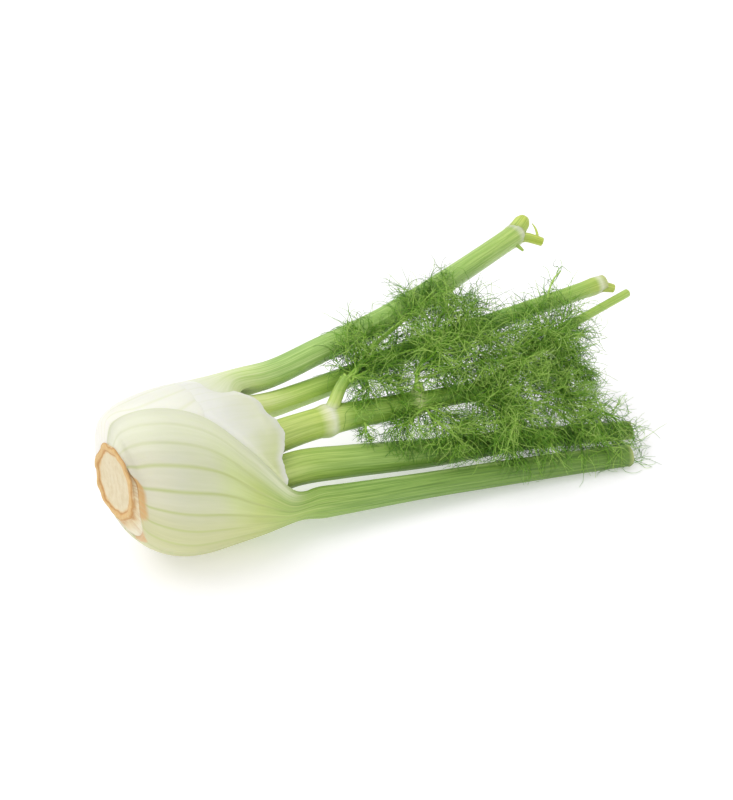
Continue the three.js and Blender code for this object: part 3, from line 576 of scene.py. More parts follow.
# The cut root: a band inside the sheaths, a knobbly brown ring, and the paler middle that it holds
root = {
    "name": "rootBase", "node": "root_base", "slot": "root_cut",
    "across": 0.6, "toward": 12.0, "halfTall": 18.6, "halfWide": 21.2, "sides": 220, "steps": 130,
    "bandDepth": 1.0, "bandSlope": 0.12, "ringSize": 0.94, "ringWidth": 0.085,
    # how far the knobs reach out, and how high knobs, pimples and roughness stand (mm)
    "knobReach": 0.09, "knobs": 0.4, "pimples": 0.5, "rough": 0.16, "bandRough": 0.3,
    # place along the bulb, size against the ring, and how far it belongs to the band
    "profile": [[-23, 1.4, 1], [-25, 1.35, 1], [-27, 1.27, 1], [-30, 1.16, 1], [-32, 1.08, 1],
                [-33.2, 1.05, 1], [-33.8, 1.04, 0.1], [-34.6, 1.0, 0], [-34.9, 0.94, 0],
                [-34.7, 0.88, 0], [-34.15, 0.83, 0], [-34, 0.78, 0], [-33.9, 0.5, 0],
                [-33.85, 0.25, 0], [-33.8, 0.02, 0]],
}


def makeRoot():
    profile = np.array(root["profile"])
    row = np.linspace(0, len(profile) - 1, root["steps"])
    along, size, band = (through(list(enumerate(profile[:, k])))(row)[:, None] for k in range(3))
    band = np.clip(band, 0, 1)
    turn = (np.arange(root["sides"]) / root["sides"] * 2 * math.pi)[None, :]
    ring = np.exp(-((size - root["ringSize"]) / root["ringWidth"]) ** 2) * (1 - band)
    knobs = ripple(np.cos(turn) * 16, np.sin(turn) * 16, 41, 10)
    pimples = ripple(np.cos(turn) * 16 + size * 9, np.sin(turn) * 16, 42, 4)
    reach = size * (1 + root["knobReach"] * smoothStep(0.7, 0.9, size) * knobs * (1 - band))
    up = root["across"] + root["halfTall"] * reach * np.cos(turn)
    out = root["toward"] + root["halfWide"] * reach * np.sin(turn)
    depth = root["bandDepth"] + root["bandSlope"] * (along + 34)
    half = np.where(np.cos(turn) > 0, skin["upper"](along), skin["lower"](along)) - depth
    bandUp = half * np.cos(turn)
    bandOut = skin["lean"](along) + (skin["across"](along) - depth) * np.sin(turn)
    up, out = mix(up, bandUp, band), mix(out, bandOut, band)
    lumps = root["knobs"] * knobs + root["pimples"] * pimples
    rough = root["rough"] * ripple(up, out, 43, 5) * (1 - band) - ring * lumps
    rough = rough + root["bandRough"] * band * ripple(turn * 26 + 0 * size, along * 1.2, 45, 7)
    grid = fanPoint(along + rough, up, out)
    return makeShell(root["name"], grid, roundEnd, size=size, turn=turn, band=band)


print("leaves")
lower = makeLeaf(lowerLeaf)
upper = joined(makeLeaf(upperLeaf), gatherStems("upperStubs", upperStubs))
front = makeLeaf(frontLeaf)
back = joined(makeLeaf(backLeaf), gatherStems("backStubs", backStubs))
membrane = joined(makeMembrane(membranes["name"], "front", 1), makeMembrane("backMembrane", "back", -1))
print("heart and root")
heartPiece = joined(makeHeart(), gatherStems("heartBranches", heart["branches"]), makeCore())
rootPiece = makeRoot()
for piece, spec in ((lower, lowerLeaf), (upper, upperLeaf), (front, frontLeaf), (back, backLeaf),
                    (membrane, membranes), (heartPiece, heart), (rootPiece, root)):
    smoothShade(piece)
    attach(piece, "root")
    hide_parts(spec["node"])


# The fronds: stems in the fan's own coordinates, then side shoots, twigs and curled threads on them
foliage = {
    "stem": {"steps": 30, "thick": (0.8, 0.4), "sides": 8, "shade": (0.7, 1), "tip": (0.0, 0.2)},
    # how many on a parent, their length against the frond's reach, their lean from the parent (degrees)
    "shoot": {"count": 11, "length": 1.0, "lean": 52, "curl": 0.13, "droop": 0.03, "steps": 10,
              "thick": (0.34, 0.23), "sides": 4, "shade": (0.3, 1), "tip": (0.1, 0.4)},
    "twig": {"count": 6, "length": 0.78, "lean": 50, "curl": 0.22, "droop": 0.03, "steps": 8,
             "thick": (0.21, 0.15), "sides": 3, "shade": (0, 1), "tip": (0.2, 0.6)},
    "thread": {"count": 7, "length": 1.15, "lean": 52, "curl": 0.34, "droop": 0.06, "steps": 8,
               "thick": (0.18, 0.1), "sides": 3, "tip": (0.3, 1)},
    "firstPlace": 0.1, "whorl": 2.4, "flatten": 0.45, "tuftSize": 15, "tuftGap": -0.17,
    # how much lighter the threads nearer the camera side are, and darker those deep in the frond:
    # painted shade
    "paintedShadeByHeight": 0.3, "clearance": 0.5, "floor": 0.8, "overhang": 0.024,
}
fronds = [
    {"name": "frondUpper", "node": "frond_upper", "seed": 11, "reach": 14, "share": 1.0,
     "stems": [[[104.5, 14.8, 13.3], [109.5, 14.5, 14], [117.4, 21.3, 16], [126.1, 26.8, 17],
                [139.7, 32, 18], [158.3, 37.8, 19], [174, 43, 19], [186, 47, 18]],
               [[106, 15.4, 13.5], [114.2, 19.2, 15], [123.9, 25, 17], [137, 30, 17],
                [153.6, 36, 18], [165, 41.2, 20], [176, 46, 20]],
               [[106, 15, 13.6], [114.3, 14.3, 15], [127.7, 17, 16], [140.5, 18.1, 17],
                [155.1, 17.5, 18], [170.6, 16.7, 20], [180, 18, 21]],
               [[106, 15.4, 13.5], [111.6, 16.4, 15], [114.2, 23, 15], [119, 29, 15],
                [126, 33, 16]],
               [[105, 15, 13.5], [112, 13, 15], [120, 9, 16], [128, 7, 16]]]},
    {"name": "frondCrown", "node": "frond_crown", "seed": 23, "reach": 19, "share": 1.0,
     "stems": [[[139.4, -5, 13], [139.5, -1.3, 17], [142.7, 5.4, 20], [151.2, 11, 22],
                [165.3, 15, 24], [180, 18, 24], [192, 20, 22]],
               [[140, -1.3, 17], [144.4, 7.4, 20], [158, 9.3, 23], [172.7, 8.1, 25],
                [188.8, 7.6, 25], [206, 8.8, 24]],
               [[140, -3, 15], [142.1, 0.5, 18], [152.9, 0.5, 20], [165.8, -0.2, 22],
                [180.4, -2.7, 24], [194, -5.6, 24]],
               [[142, 3, 19], [147.7, 10, 20], [157, 20, 20], [168, 28.4, 20], [178, 33.5, 19]],
               [[142, 3, 19], [150, 13, 21], [164, 20, 22], [178, 24, 22], [192, 28, 20]],
               [[143, 5, 20], [152, 6, 23], [160, 3, 25], [172, 2, 25], [184, 3, 23]]]},
    {"name": "frondStem", "node": "frond_stem", "seed": 37, "reach": 18, "share": 1.0,
     "stems": [[[190, -9.8, 15.4], [193, -7.5, 18], [197.4, -3.7, 22], [209.6, 0, 25],
                [226.3, 2.4, 25], [240, 5, 22], [250, 7, 19]],
               [[198, -8, 15.6], [202.3, -6.9, 18], [215, -6.5, 22], [229, -4.6, 22],
                [240, -2, 19]],
               [[190, -9.8, 15.4], [196, -10.4, 18], [205.8, -13.3, 20], [218, -14.6, 20],
                [229, -12.9, 18]],
               [[205, -6, 15.4], [211, -1, 19], [219, 3, 20], [228, 5, 19]]]},
    {"name": "frondSide", "node": "frond_side", "seed": 41, "reach": 14, "share": 1.0,
     "stems": [[[216, -3, 15.4], [219.8, -9.2, 17], [223.4, -16.5, 18], [224.5, -23.7, 18],
                [219.6, -29.4, 16]],
               [[222, -1, 15], [226.5, -7.7, 17], [231.2, -14.5, 17], [233.6, -20.8, 15]]]},
    {"name": "frondFront", "node": "frond_front", "seed": 59, "reach": 18, "share": 1.0,
     "stems": [[[169, -14, 14], [173.5, -17.5, 16], [181.4, -22, 19], [194.8, -30.8, 22],
                [207.8, -38.9, 22], [220.3, -45.5, 20], [231, -51, 18]],
               [[169, -15, 14], [169.7, -19, 16.6], [172.2, -25.8, 20], [174.5, -34.1, 21],
                [175.6, -42, 18]],
               [[169, -15, 14], [172, -20, 17], [180.3, -28.7, 21], [189.1, -38.1, 21],
                [193.4, -47.9, 18]],
               [[170, -14, 14], [174, -17.6, 17], [187.8, -21.4, 20], [202.3, -28.5, 22],
                [217.1, -35, 21], [231.3, -41.8, 18]],
               [[176, -20, 17], [180.2, -26, 19], [183.2, -36.2, 20], [183, -46.7, 17]],
               [[203, -35, 21.5], [208.8, -41, 20], [214.8, -49.5, 18], [218.7, -57.7, 14]]]},
    {"name": "frondWisp", "node": "frond_front", "seed": 61, "reach": 15, "share": 0.5,
     "stems": [[[222, -45, 20], [230.6, -51.4, 18], [233.5, -60.4, 15], [238.5, -70.2, 12],
                [244.7, -77, 10]],
               [[226, -41, 19], [234, -46, 18], [242, -52, 15], [247, -58, 12]]]},
    {"name": "frondHigh", "node": "frond_stem", "seed": 64, "reach": 9, "share": 0.12,
     "stems": [[[240, 22, 15], [241.6, 24, 15.5], [243.7, 27, 16], [249.9, 32.8, 17],
                [256.9, 36.2, 17]]]},
    {"name": "frondRear", "node": "frond_rear", "seed": 83, "reach": 15, "share": 0.8,
     "stems": [[[169, -14, 10], [173.5, -14.6, 7], [182, -16, -1], [194, -18, -14], [208, -19, -26],
                [220, -18, -34]],
               [[172, -14.6, 8], [184, -14, 3], [200, -10, -4], [214, -5, -8], [226, -2, -10]]]},
    {"name": "frondLow", "node": "frond_low", "seed": 67, "reach": 13, "share": 0.9,
     "stems": [[[138.5, -11, 12], [139.5, -15, 15], [139.5, -20, 16], [142.9, -26.9, 16],
                [146.9, -34, 16], [152.3, -40.7, 14]],
               [[138.5, -11, 12], [143.9, -17.2, 16], [149.8, -24, 16], [153.7, -32, 15]],
               [[138.5, -11, 12], [135.9, -14, 13.5], [128.3, -17.1, 14], [122.6, -18.6, 13]]]},
    {"name": "frondSprig", "node": "frond_low", "seed": 71, "reach": 6, "share": 0.4,
     "stems": [[[106, -8, 8], [106, -10.6, 9], [105, -13.2, 9], [103, -16, 8.6]]]},
]


def sprout(rng, parents, level, frond):
    # curved branches on each parent line, shorter towards both ends of it
    count = max(2, round(level["count"] * frond["share"] ** 0.5))
    length = frond["reach"] * level["length"]
    many, last = parents.shape[0], parents.shape[1] - 1
    low = foliage["firstPlace"]
    share = low + (1 - low) * (np.arange(count) + rng.uniform(0.15, 0.85, (many, count))) / count
    place = np.clip(share, 0, 0.999) * last
    i = place.astype(int)
    row = np.arange(many)[:, None]
    base = mix(parents[row, i], parents[row, i + 1], (place - i)[..., None])
    heading = unit(parents[row, i + 1] - parents[row, i])
    helper = unit(rng.normal(size=(many, 1, 3)))
    sideA = unit(np.cross(heading, helper + 1e-3))
    sideB = np.cross(heading, sideA)
    turn = np.arange(count) * foliage["whorl"] + rng.normal(0, 0.45, (many, count))
    aside = sideA * np.cos(turn)[..., None] + sideB * np.sin(turn)[..., None]
    tilt = np.radians(level["lean"]) * rng.uniform(0.5, 1.6, (many, count, 1))
    tilt = tilt * (1 - 0.35 * share[..., None])
    way = (heading * np.cos(tilt) + aside * np.sin(tilt)).reshape(-1, 3)
    way = unit(way - towardWay * (way @ towardWay)[:, None] * foliage["flatten"])
    size = length * np.sin(math.pi * (0.22 + 0.66 * share)) * rng.uniform(0.65, 1.25, (many, count))
    step = size.reshape(-1, 1) / (level["steps"] - 1)
    axis = unit(np.cross(way, rng.normal(size=way.shape)))
    bend = rng.normal(0, level["curl"], (len(way), 1))
    point = base.reshape(-1, 3)
    line = [point]
    for _ in range(level["steps"] - 1):
        point = point + way * step
        line.append(point)
        way = way * np.cos(bend) + np.cross(axis, way) * np.sin(bend)
        way = unit(way + np.array([0, 0, -level["droop"]]))
        bend = bend + rng.normal(0, level["curl"] * 0.4, bend.shape)
        axis = unit(axis + 0.35 * rng.normal(size=axis.shape))
    return np.stack(line, 1)


def stalkSamples(spacingAlong=2.0, heartFrom=60, branchSteps=60):
    # points down every stalk with the radius to keep clear of
    places, radii = [], []
    for leaf in (lowerLeaf, upperLeaf, frontLeaf, backLeaf):
        at = routeOf(leaf["route"])[0]
        x = np.arange(leaf["parting"][1], leaf["to"], spacingAlong)
        places.append(at(x))
        radii.append(np.maximum(leaf["thick"](x), leaf["wide"](x)))
    at = routeOf(heart["route"])[0]
    x = np.arange(heartFrom, heart["to"], spacingAlong)
    places.append(at(x))
    radii.append(heart["wide"](x))
    for route, radius in heart["branches"]:
        places.append(curveThrough([fanPoint(*row) for row in route], branchSteps))
        along = np.linspace(0, len(radius) - 1, branchSteps)
        radii.append(np.interp(along, np.arange(len(radius)), radius))
    return np.concatenate(places), np.concatenate(radii)


def pushClear(line, places, radii, batch=4000):
    # moves the points of a line that lie in a stalk out to its skin, and those under the floor up
    flat = line.reshape(-1, 3).copy()
    for start in range(0, len(flat), batch):
        part = flat[start:start + batch]
        gap = np.linalg.norm(part[:, None, :] - places[None], axis=-1) - radii[None]
        near = gap.argmin(1)
        inside = gap[np.arange(len(part)), near] < foliage["clearance"]
        away = unit(part - places[near])
        part[inside] = (places[near] + away * (radii[near] + foliage["clearance"])[:, None])[inside]
    flat[:, 2] = np.maximum(flat[:, 2], foliage["floor"])
    return flat.reshape(line.shape)


def tubes(lines, level, shade):
    # closed tubes with equally many points each: points, walls, ends, and two numbers for every point
    count, steps = lines.shape[:2]
    sides = level["sides"]
    size = np.broadcast_to(np.linspace(*level["thick"], steps), (count, steps))
    points = tubeRings(lines, size, sides).reshape(-1, 3)
    start = np.arange(count)[:, None, None] * steps * sides
    walls = (ringFaces(steps, sides)[None] + start).reshape(-1, 4)
    end = roundEnd(0, sides) if sides > 3 else np.array([[0, 1, 2]])
    ends = np.concatenate([end[:, ::-1], end + (steps - 1) * sides])
    ends = (ends[None] + start).reshape(-1, end.shape[1])
    shades = np.repeat(shade, steps * sides)
    tips = np.tile(np.repeat(np.linspace(*level["tip"], steps), sides), count)
    return points, walls, ends, shades, tips


def keepNear(lines):
    # leaves out what would reach past the size of the part
    low, high = (np.array(corner) / mm for corner in cadBox)
    spare = (high - low) * foliage["overhang"]
    return lines[np.all((lines > low - spare) & (lines < high + spare), axis=(1, 2))]


def growFrond(frond, places, radii):
    rng = np.random.default_rng(frond["seed"])
    steps = foliage["stem"]["steps"]
    stems = np.stack([curveThrough([fanPoint(*row) for row in stem], steps) for stem in frond["stems"]])
    lines = [pushClear(stems, places, radii)]
    for level in ("shoot", "twig", "thread"):
        grown = sprout(rng, lines[-1], foliage[level], frond)
        lines.append(keepNear(pushClear(grown, places, radii)))
    # threads stand in tufts with thin places between them; those nearer the camera side are lighter and
    # those deep in the frond darker, as painted shade
    threads = lines.pop()
    middle = threads.mean(1)
    tuft = ripple(middle @ acrossWay, middle[:, 0], frond["seed"] + 2, foliage["tuftSize"])
    threads = threads[tuft > foliage["tuftGap"] * rng.uniform(0, 2, len(threads))]
    height = threads.mean(1) @ towardWay
    paintedDepthShade = foliage["paintedShadeByHeight"] * (height - height.mean()) / height.std()
    threadShade = np.clip(rng.uniform(0, 1, len(threads)) + paintedDepthShade, 0, 1)
    lumps = []
    for level, grown in zip(("stem", "shoot", "twig"), lines):
        shade = rng.uniform(*foliage[level]["shade"], len(grown))
        lumps.append(tubes(grown, foliage[level], shade))
    lumps.append(tubes(threads, foliage["thread"], threadShade))
    points, walls, ends, shades, tips = zip(*lumps)
    offsets = np.cumsum([0] + [len(group) for group in points])
    faces = [group + offset for pair, offset in zip(zip(walls, ends), offsets) for group in pair]
    piece = makeMesh(frond["name"], np.concatenate(points), faces,
                     shade=np.concatenate(shades), tip=np.concatenate(tips))
    piece.data.shade_smooth()
    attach(piece, "root")
    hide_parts(frond["node"])
    print(frond["name"], sum(len(group) * (group.shape[1] - 2) for group in faces), "triangles")
    return piece


print("fronds")
places, radii = stalkSamples()
frondPieces = [growFrond(frond, places, radii) for frond in fronds]


# Materials
def startMaterial(name):
    material = bpy.data.materials.new(name)
    material.use_nodes = True
    tree = material.node_tree
    return material, tree, tree.nodes["Principled BSDF"]


def fillIn(tree, node, values):
    # links what comes from another node, and sets the rest on the node itself
    for key, value in values.items():
        if isinstance(value, bpy.types.NodeSocket):
            tree.links.new(value, node.inputs[key])
        else:
            node.inputs[key].default_value = value


def add(tree, kind, values, **settings):
    node = tree.nodes.new(kind)
    for key, value in settings.items():
        setattr(node, key, value)
    fillIn(tree, node, values)
    return node


def reading(tree, name):
    return add(tree, "ShaderNodeAttribute", {}, attribute_name=name).outputs["Fac"]


def calc(tree, operation, *values):
    return add(tree, "ShaderNodeMath", dict(enumerate(values)), operation=operation).outputs[0]


def times(tree, a, b):
    return calc(tree, "MULTIPLY", a, b)


def noise(tree, where, scale, detail, roughness=0.5):
    values = {"Vector": where, "Scale": scale, "Detail": detail, "Roughness": roughness}
    return add(tree, "ShaderNodeTexNoise", values).outputs["Fac"]


def spread(tree, value, low, high, to=(0.0, 1.0)):
    values = {"Value": value, "From Min": low, "From Max": high, "To Min": to[0], "To Max": to[1]}
    return add(tree, "ShaderNodeMapRange", values, interpolation_type="SMOOTHSTEP").outputs["Result"]


def blend(tree, share, a, b, how="MIX"):
    node = add(tree, "ShaderNodeMix", {"Factor": share}, data_type="RGBA", blend_type=how)
    node.clamp_factor = True
    for key, value in (("A", a), ("B", b)):
        socket = [s for s in node.inputs if s.name == key and s.type == "RGBA"][0]
        if isinstance(value, bpy.types.NodeSocket):
            tree.links.new(value, socket)
        else:
            socket.default_value = value
    return [s for s in node.outputs if s.type == "RGBA"][0]


def paint(red, green, blue):
    # a colour as a screen shows it, 0 to 255, made linear
    def linear(v):
        v = v / 255
        return v / 12.92 if v <= 0.04045 else ((v + 0.055) / 1.055) ** 2.4
    return (linear(red), linear(green), linear(blue), 1.0)


def ramp(tree, value, stops):
    node = add(tree, "ShaderNodeValToRGB", {"Fac": value})
    elements = node.color_ramp.elements
    for index, (position, colour) in enumerate(stops):
        element = elements[index] if index < 2 else elements.new(position)
        element.position = position
        element.color = colour
    return node.outputs["Color"]


def newGroup(name, inputs, outputs):
    group = bpy.data.node_groups.new(name, "ShaderNodeTree")
    for title, value in inputs:
        socket = group.interface.new_socket(name=title, in_out="INPUT", socket_type="NodeSocketFloat")
        socket.default_value = value
    for title in outputs:
        group.interface.new_socket(name=title, in_out="OUTPUT", socket_type="NodeSocketFloat")
    return group, add(group, "NodeGroupInput", {}).outputs, add(group, "NodeGroupOutput", {}).inputs


def makeFibres():
    # lines that run along a leaf: narrow grooves, broad bands, fine lines, and slow patches of colour
    group, given, out = newGroup(
        "fibreLines",
        [("Around", 0.0), ("Rib", 0.0), ("Along", 0.0), ("Count", 60.0)],
        ["Groove", "Broad", "Fine", "Patches"],
    )
    swing = calc(group, "PINGPONG", given["Rib"], 0.5)
    group.links.new(spread(group, swing, 0.15, 0.0), out["Groove"])
    turned = times(group, given["Around"], given["Count"])
    # how much of the turn and of the length each takes, and its detail
    kinds = (("Broad", 0.28, 0.008, 1.0), ("Fine", 1.0, 0.03, 3.0), ("Patches", 0.1, 0.03, 2.0))
    for title, across, down, detail in kinds:
        place = {"X": times(group, turned, across), "Y": times(group, given["Along"], down)}
        where = add(group, "ShaderNodeCombineXYZ", place).outputs[0]
        group.links.new(noise(group, where, 1.0, detail, 0.6), out[title])
    return group


fibreGroup = makeFibres()


# What all leaf skins share: the span of the colour stops (mm), the two greys of each kind of line,
# the colours of the torn edges, cut root and stub ends, and the shader's own values
leafLook = {
    "range": (-35.0, 300.0),
    "lines": (("Broad", (160, 168, 152), (212, 214, 206)), ("Fine", (142, 154, 130), (226, 228, 214))),
    "torn": (242, 243, 226), "rootCut": (214, 172, 112), "tip": (190, 196, 132),
    "shader": {"Subsurface Weight": 0.2, "Subsurface Radius": (0.005, 0.006, 0.003),
               "Subsurface Scale": 1.0, "Coat Weight": 0.08, "Coat Roughness": 0.3},
}


def finishSkin(tree, shader, colour, height, strength, distance):
    bump = add(tree, "ShaderNodeBump", {"Height": height, "Strength": strength, "Distance": distance})
    fillIn(tree, shader, {"Base Color": colour, "Normal": bump.outputs["Normal"]})


def leafSkin(finish):
    material, tree, shader = startMaterial(finish["name"])
    along = reading(tree, "along")
    around = reading(tree, "around")
    given = {"Around": around, "Rib": reading(tree, "rib"), "Along": along, "Count": finish["lines"]}
    fibres = add(tree, "ShaderNodeGroup", given, node_tree=fibreGroup).outputs
    low, high = leafLook["range"]
    wander = calc(tree, "MULTIPLY_ADD", fibres["Patches"], finish["wander"], along)
    where = calc(tree, "SUBTRACT", wander, finish["wander"] / 2)
    share = calc(tree, "DIVIDE", calc(tree, "SUBTRACT", where, low), high - low)
    stops = [((x - low) / (high - low), paint(*shade)) for x, shade in finish["stops"]]
    colour = ramp(tree, share, stops)
    aside = calc(tree, "ABSOLUTE", around)
    for tint in finish["tints"]:
        mask = times(tree, spread(tree, aside, *tint["around"]), spread(tree, along, *tint["along"]))
        colour = blend(tree, times(tree, mask, tint["share"]), colour, paint(*tint["colour"]))
    # thin greenish lines in the grooves of the sheath
    shown = spread(tree, along, 90.0, 40.0, (0.0, finish["grooveShare"]))
    groove = times(tree, fibres["Groove"], shown)
    groove = times(tree, groove, spread(tree, aside, 0.85, 0.55, (0.25, 1.0)))
    colour = blend(tree, groove, colour, paint(*finish["groove"]))
    # lengthwise lines, faint on the sheath and clear on the green stalk
    strength = spread(tree, along, 10.0, 75.0, finish["lineShare"])
    for lines, dark, light in leafLook["lines"]:
        grey = blend(tree, spread(tree, fibres[lines], 0.36, 0.64), paint(*dark), paint(*light))
        colour = blend(tree, strength, colour, grey, "SOFT_LIGHT")
    # the cut or torn ends
    colour = blend(tree, reading(tree, "torn"), colour, paint(*leafLook["torn"]))
    dirt = times(tree, reading(tree, "rootCut"), spread(tree, fibres["Fine"], 0.3, 0.55, (0.75, 1.0)))
    colour = blend(tree, dirt, colour, paint(*leafLook["rootCut"]))
    colour = blend(tree, times(tree, reading(tree, "tip"), 0.8), colour, paint(*leafLook["tip"]))
    finishSkin(tree, shader, colour, fibres["Fine"], 0.35, finish["bump"])
    fillIn(tree, shader, {"Roughness": finish["roughness"], **leafLook["shader"]})
    return material


# The finish of each leaf: its colours by place along the bulb (mm), and tints by place round it
plainSkin = {"grooveShare": 0.2, "roughness": 0.4, "bump": 0.0005, "tints": []}
# the sheath's pale margin, made paler by a painted highlight along its lip
paleMarginHighlight = {"around": (0.6, 0.9), "along": (62.0, 38.0), "share": 0.75, "colour": (232, 236, 206)}
# darker olive towards the underside of the sheath: painted shade, with greenish bounce light painted in
paintedShadeBelly = {"around": (0.5, 0.1), "along": (60.0, 10.0), "share": 0.75, "colour": (198, 200, 140)}
# paler green along the stalks' edges: painted highlight
paintedHighlightEdge = {"around": (0.74, 0.94), "along": (60.0, 90.0), "share": 0.4, "colour": (186, 208, 140)}
sheathSkin = leafSkin({
    **plainSkin, "name": "sheathSkin", "lines": 34.0, "wander": 12.0, "groove": (188, 198, 128),
    "grooveShare": 0.75, "lineShare": (0.12, 0.68), "tints": [paleMarginHighlight, paintedShadeBelly, paintedHighlightEdge],
    "stops": [(-34, (224, 220, 196)), (-12, (214, 215, 190)), (4, (212, 216, 180)),
              (14, (208, 219, 156)), (26, (192, 206, 122)), (40, (170, 192, 104)),
              (60, (150, 178, 92)), (100, (128, 160, 78)), (170, (110, 142, 60)),
              (240, (98, 130, 48)), (262, (142, 166, 74))]})
upperSkin = leafSkin({
    **plainSkin, "name": "upperSkin", "lines": 28.0, "wander": 10.0, "groove": (226, 230, 190),
    "grooveShare": 0.4, "lineShare": (0.1, 0.75), "tints": [paintedHighlightEdge],
    "stops": [(-34, (241, 239, 224)), (-10, (242, 242, 228)), (15, (241, 242, 226)),
              (30, (230, 236, 200)), (44, (222, 233, 178)), (58, (202, 221, 150)),
              (75, (168, 198, 120)), (120, (156, 191, 104)), (200, (162, 195, 108)),
              (250, (176, 202, 112)), (262, (190, 204, 92))]})
frontSkin = leafSkin({
    **plainSkin, "name": "frontSkin", "lines": 26.0, "wander": 12.0, "groove": (120, 160, 60),
    "lineShare": (0.2, 0.58), "tints": [paintedHighlightEdge],
    # its darker greens from 130 mm on, where the fronds hang over the stalk, are partly painted shade
    "stops": [(-34, (226, 230, 180)), (40, (202, 216, 132)), (52, (184, 204, 114)),
              (70, (168, 194, 100)), (95, (152, 182, 94)), (130, (130, 164, 74)),
              (180, (112, 148, 58)), (245, (112, 148, 56)), (262, (150, 176, 84))]})
backSkin = leafSkin({
    **plainSkin, "name": "backSkin", "lines": 24.0, "wander": 10.0, "groove": (140, 176, 74),
    "lineShare": (0.2, 0.56),
    # its lightest greens, at 48 to 62 mm, are painted light against the shade that the membrane casts
    # there
    "stops": [(-34, (226, 230, 180)), (48, (236, 244, 178)), (62, (228, 240, 164)),
              (80, (190, 214, 116)), (110, (154, 190, 84)), (150, (138, 176, 74)),
              (210, (136, 176, 82)), (262, (164, 194, 96)), (285, (192, 202, 102))]})
heartSkin = leafSkin({
    **plainSkin, "name": "heartSkin", "lines": 30.0, "wander": 1.0, "groove": (140, 172, 70),
    "lineShare": (0.2, 0.54), "bump": 0.0004,
    "stops": [(-34, (226, 230, 180)), (50, (202, 216, 128)), (70, (190, 208, 116)),
              (83, (188, 208, 108)), (87.5, (224, 228, 180)), (91, (234, 237, 210)),
              (94.5, (196, 214, 124)), (103, (146, 180, 76)), (125, (134, 168, 66)),
              (135, (138, 172, 70)), (139, (212, 220, 160)), (143.5, (136, 172, 68)),
              (172, (130, 166, 66)), (290, (174, 200, 102))]})
membraneSkin = leafSkin({
    "name": "membraneSkin", "lines": 30.0, "wander": 6.0, "groove": (230, 234, 200), "grooveShare": 0.3,
    "lineShare": (0.1, 0.3), "roughness": 0.34, "bump": 0.0003,
    "tints": [{"around": (0.9, 1.3), "along": (22.0, 44.0), "share": 0.8, "colour": (214, 224, 158)}],
    "stops": [(-34, (244, 244, 232)), (20, (243, 245, 230)), (34, (240, 243, 218)),
              (48, (236, 240, 204)), (80, (232, 238, 196))]})


def makeRootSkin():
    material, tree, shader = startMaterial("rootSkin")
    size, turn, band = (reading(tree, name) for name in ("size", "turn", "band"))
    where = add(tree, "ShaderNodeTexCoord", {}).outputs["Object"]
    grit = noise(tree, where, 420.0, 5.0)
    shift = calc(tree, "MULTIPLY_ADD", noise(tree, where, 150.0, 3.0), 0.16, size)
    colour = ramp(tree, times(tree, shift, 0.8), [
        (0.0, paint(226, 214, 182)), (0.66, paint(226, 214, 180)), (0.7, paint(224, 198, 148)),
        (0.73, paint(196, 146, 88)), (0.765, paint(220, 184, 126)), (0.84, paint(222, 188, 130)),
        (0.875, paint(198, 150, 90)), (0.91, paint(228, 212, 172)), (0.97, paint(236, 231, 206)),
    ])
    # vertical streaks in the middle, and brown ones down the band
    middle = add(tree, "ShaderNodeMapping", {"Vector": where, "Scale": (60.0, 420.0, 90.0)}).outputs[0]
    aroundBand = {"X": times(tree, turn, 20.0), "Y": times(tree, size, 1.2)}
    aroundBand = add(tree, "ShaderNodeCombineXYZ", aroundBand).outputs[0]
    bandMask = times(tree, band, spread(tree, size, 1.5, 1.1))
    for spot, mask, tone, share in (
            (middle, spread(tree, size, 0.86, 0.6), (214, 198, 158), 0.5),
            (aroundBand, bandMask, (206, 172, 124), 0.45)):
        streaks = spread(tree, noise(tree, spot, 1.0, 3.0), 0.46, 0.66, (0.0, share))
        colour = blend(tree, times(tree, streaks, mask), colour, paint(*tone))
    grain = spread(tree, grit, 0.35, 0.7, (0.0, 0.3))
    colour = blend(tree, grain, colour, paint(232, 222, 192), "MULTIPLY")
    finishSkin(tree, shader, colour, grit, 0.5, 0.0005)
    fillIn(tree, shader, {"Roughness": 0.7, "Subsurface Weight": 0.1,
                          "Subsurface Radius": (0.004, 0.003, 0.002)})
    return material


def makeFrondSkin():
    material, tree, shader = startMaterial("frondSkin")
    # colour by each line's shade value: a random tone, and for the threads also painted shade deep in
    # the frond
    colour = ramp(tree, reading(tree, "shade"), [
        (0.0, paint(58, 106, 10)), (0.4, paint(102, 158, 26)), (0.75, paint(138, 190, 48)),
        (1.0, paint(186, 220, 104)),
    ])
    colour = blend(tree, times(tree, reading(tree, "tip"), 0.3), colour, paint(134, 188, 84))
    fillIn(tree, shader, {"Base Color": colour, "Roughness": 0.45, "Subsurface Weight": 0.0})
    return material


rootSkin = makeRootSkin()
frondSkin = makeFrondSkin()
for piece, skinMaterial in (
        (lower, sheathSkin), (upper, upperSkin), (front, frontSkin), (back, backSkin),
        (membrane, membraneSkin), (heartPiece, heartSkin), (rootPiece, rootSkin)):
    piece.data.materials.clear()
    piece.data.materials.append(skinMaterial)
for piece in frondPieces:
    piece.data.materials.append(frondSkin)
print("materials")

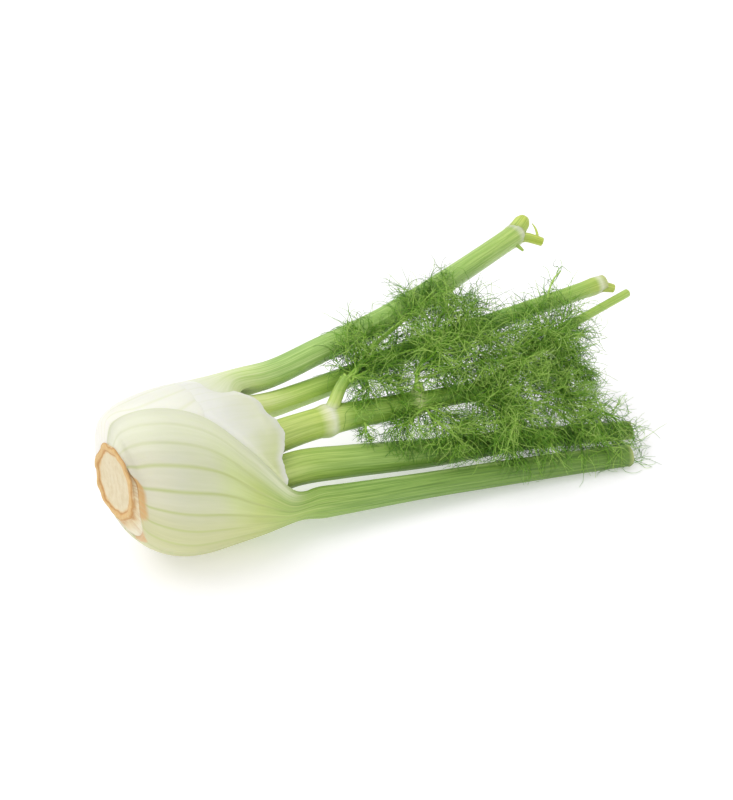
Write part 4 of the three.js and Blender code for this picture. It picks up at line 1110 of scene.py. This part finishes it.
# The pale floor, soft studio light and the camera
studio = {"floorColour": (0.79, 0.77, 0.8, 1), "floorGlow": 0.34, "sky": 0.66, "key": 1.25, "fill": 0.35}
bpy.ops.mesh.primitive_plane_add(size=12, location=(0.1, 0, 0))
floor = bpy.context.active_object
floor.name = "paleFloor"
floorMaterial, floorTree, floorShader = startMaterial("floorPaint")
fillIn(floorTree, floorShader, {
    "Base Color": studio["floorColour"], "Roughness": 0.7, "Specular IOR Level": 0.1,
    "Emission Color": (1, 1, 1, 1), "Emission Strength": studio["floorGlow"],
})
floor.data.materials.append(floorMaterial)

world = bpy.data.worlds.new("softRoom")
bpy.context.scene.world = world
world.use_nodes = True
sky = world.node_tree.nodes["Background"]
fillIn(world.node_tree, sky, {"Color": (1, 1, 1, 1), "Strength": studio["sky"]})


def addSun(name, where, spreadAngle, strength):
    # a far, broad and soft light that shines from where towards the origin
    light = bpy.data.lights.new(name, "SUN")
    light.angle = math.radians(spreadAngle)
    light.energy = strength
    lamp = bpy.data.objects.new(name, light)
    lamp.location = where
    lamp.rotation_euler = (-Vector(where)).to_track_quat("-Z", "Y").to_euler()
    bpy.context.scene.collection.objects.link(lamp)


addSun("keyLight", (-0.45, 0.55, 1.3), 60, studio["key"])
addSun("fillLight", (-0.8, -0.9, 0.8), 80, studio["fill"])

camera = {
    "azimuth": -33.0, "elevation": 30.0, "distance": 1.0, "aim": (0.110, 0.0105, 0.0411),
    "lens": 85.0, "sensor": 36.0,
}
azimuth, elevation = math.radians(camera["azimuth"]), math.radians(camera["elevation"])
backward = Vector((math.sin(azimuth) * math.cos(elevation), -math.cos(azimuth) * math.cos(elevation),
                   math.sin(elevation)))
lensData = bpy.data.cameras.new("photoCamera")
lensData.lens = camera["lens"]
lensData.sensor_width = camera["sensor"]
photoCamera = bpy.data.objects.new("photoCamera", lensData)
photoCamera.location = Vector(camera["aim"]) + backward * camera["distance"]
photoCamera.rotation_mode = "QUATERNION"
photoCamera.rotation_quaternion = (-backward).to_track_quat("-Z", "Y")
bpy.context.scene.collection.objects.link(photoCamera)
bpy.context.scene.camera = photoCamera
bpy.context.scene.view_settings.view_transform = "Standard"
print("studio")

bpy.context.view_layer.update()
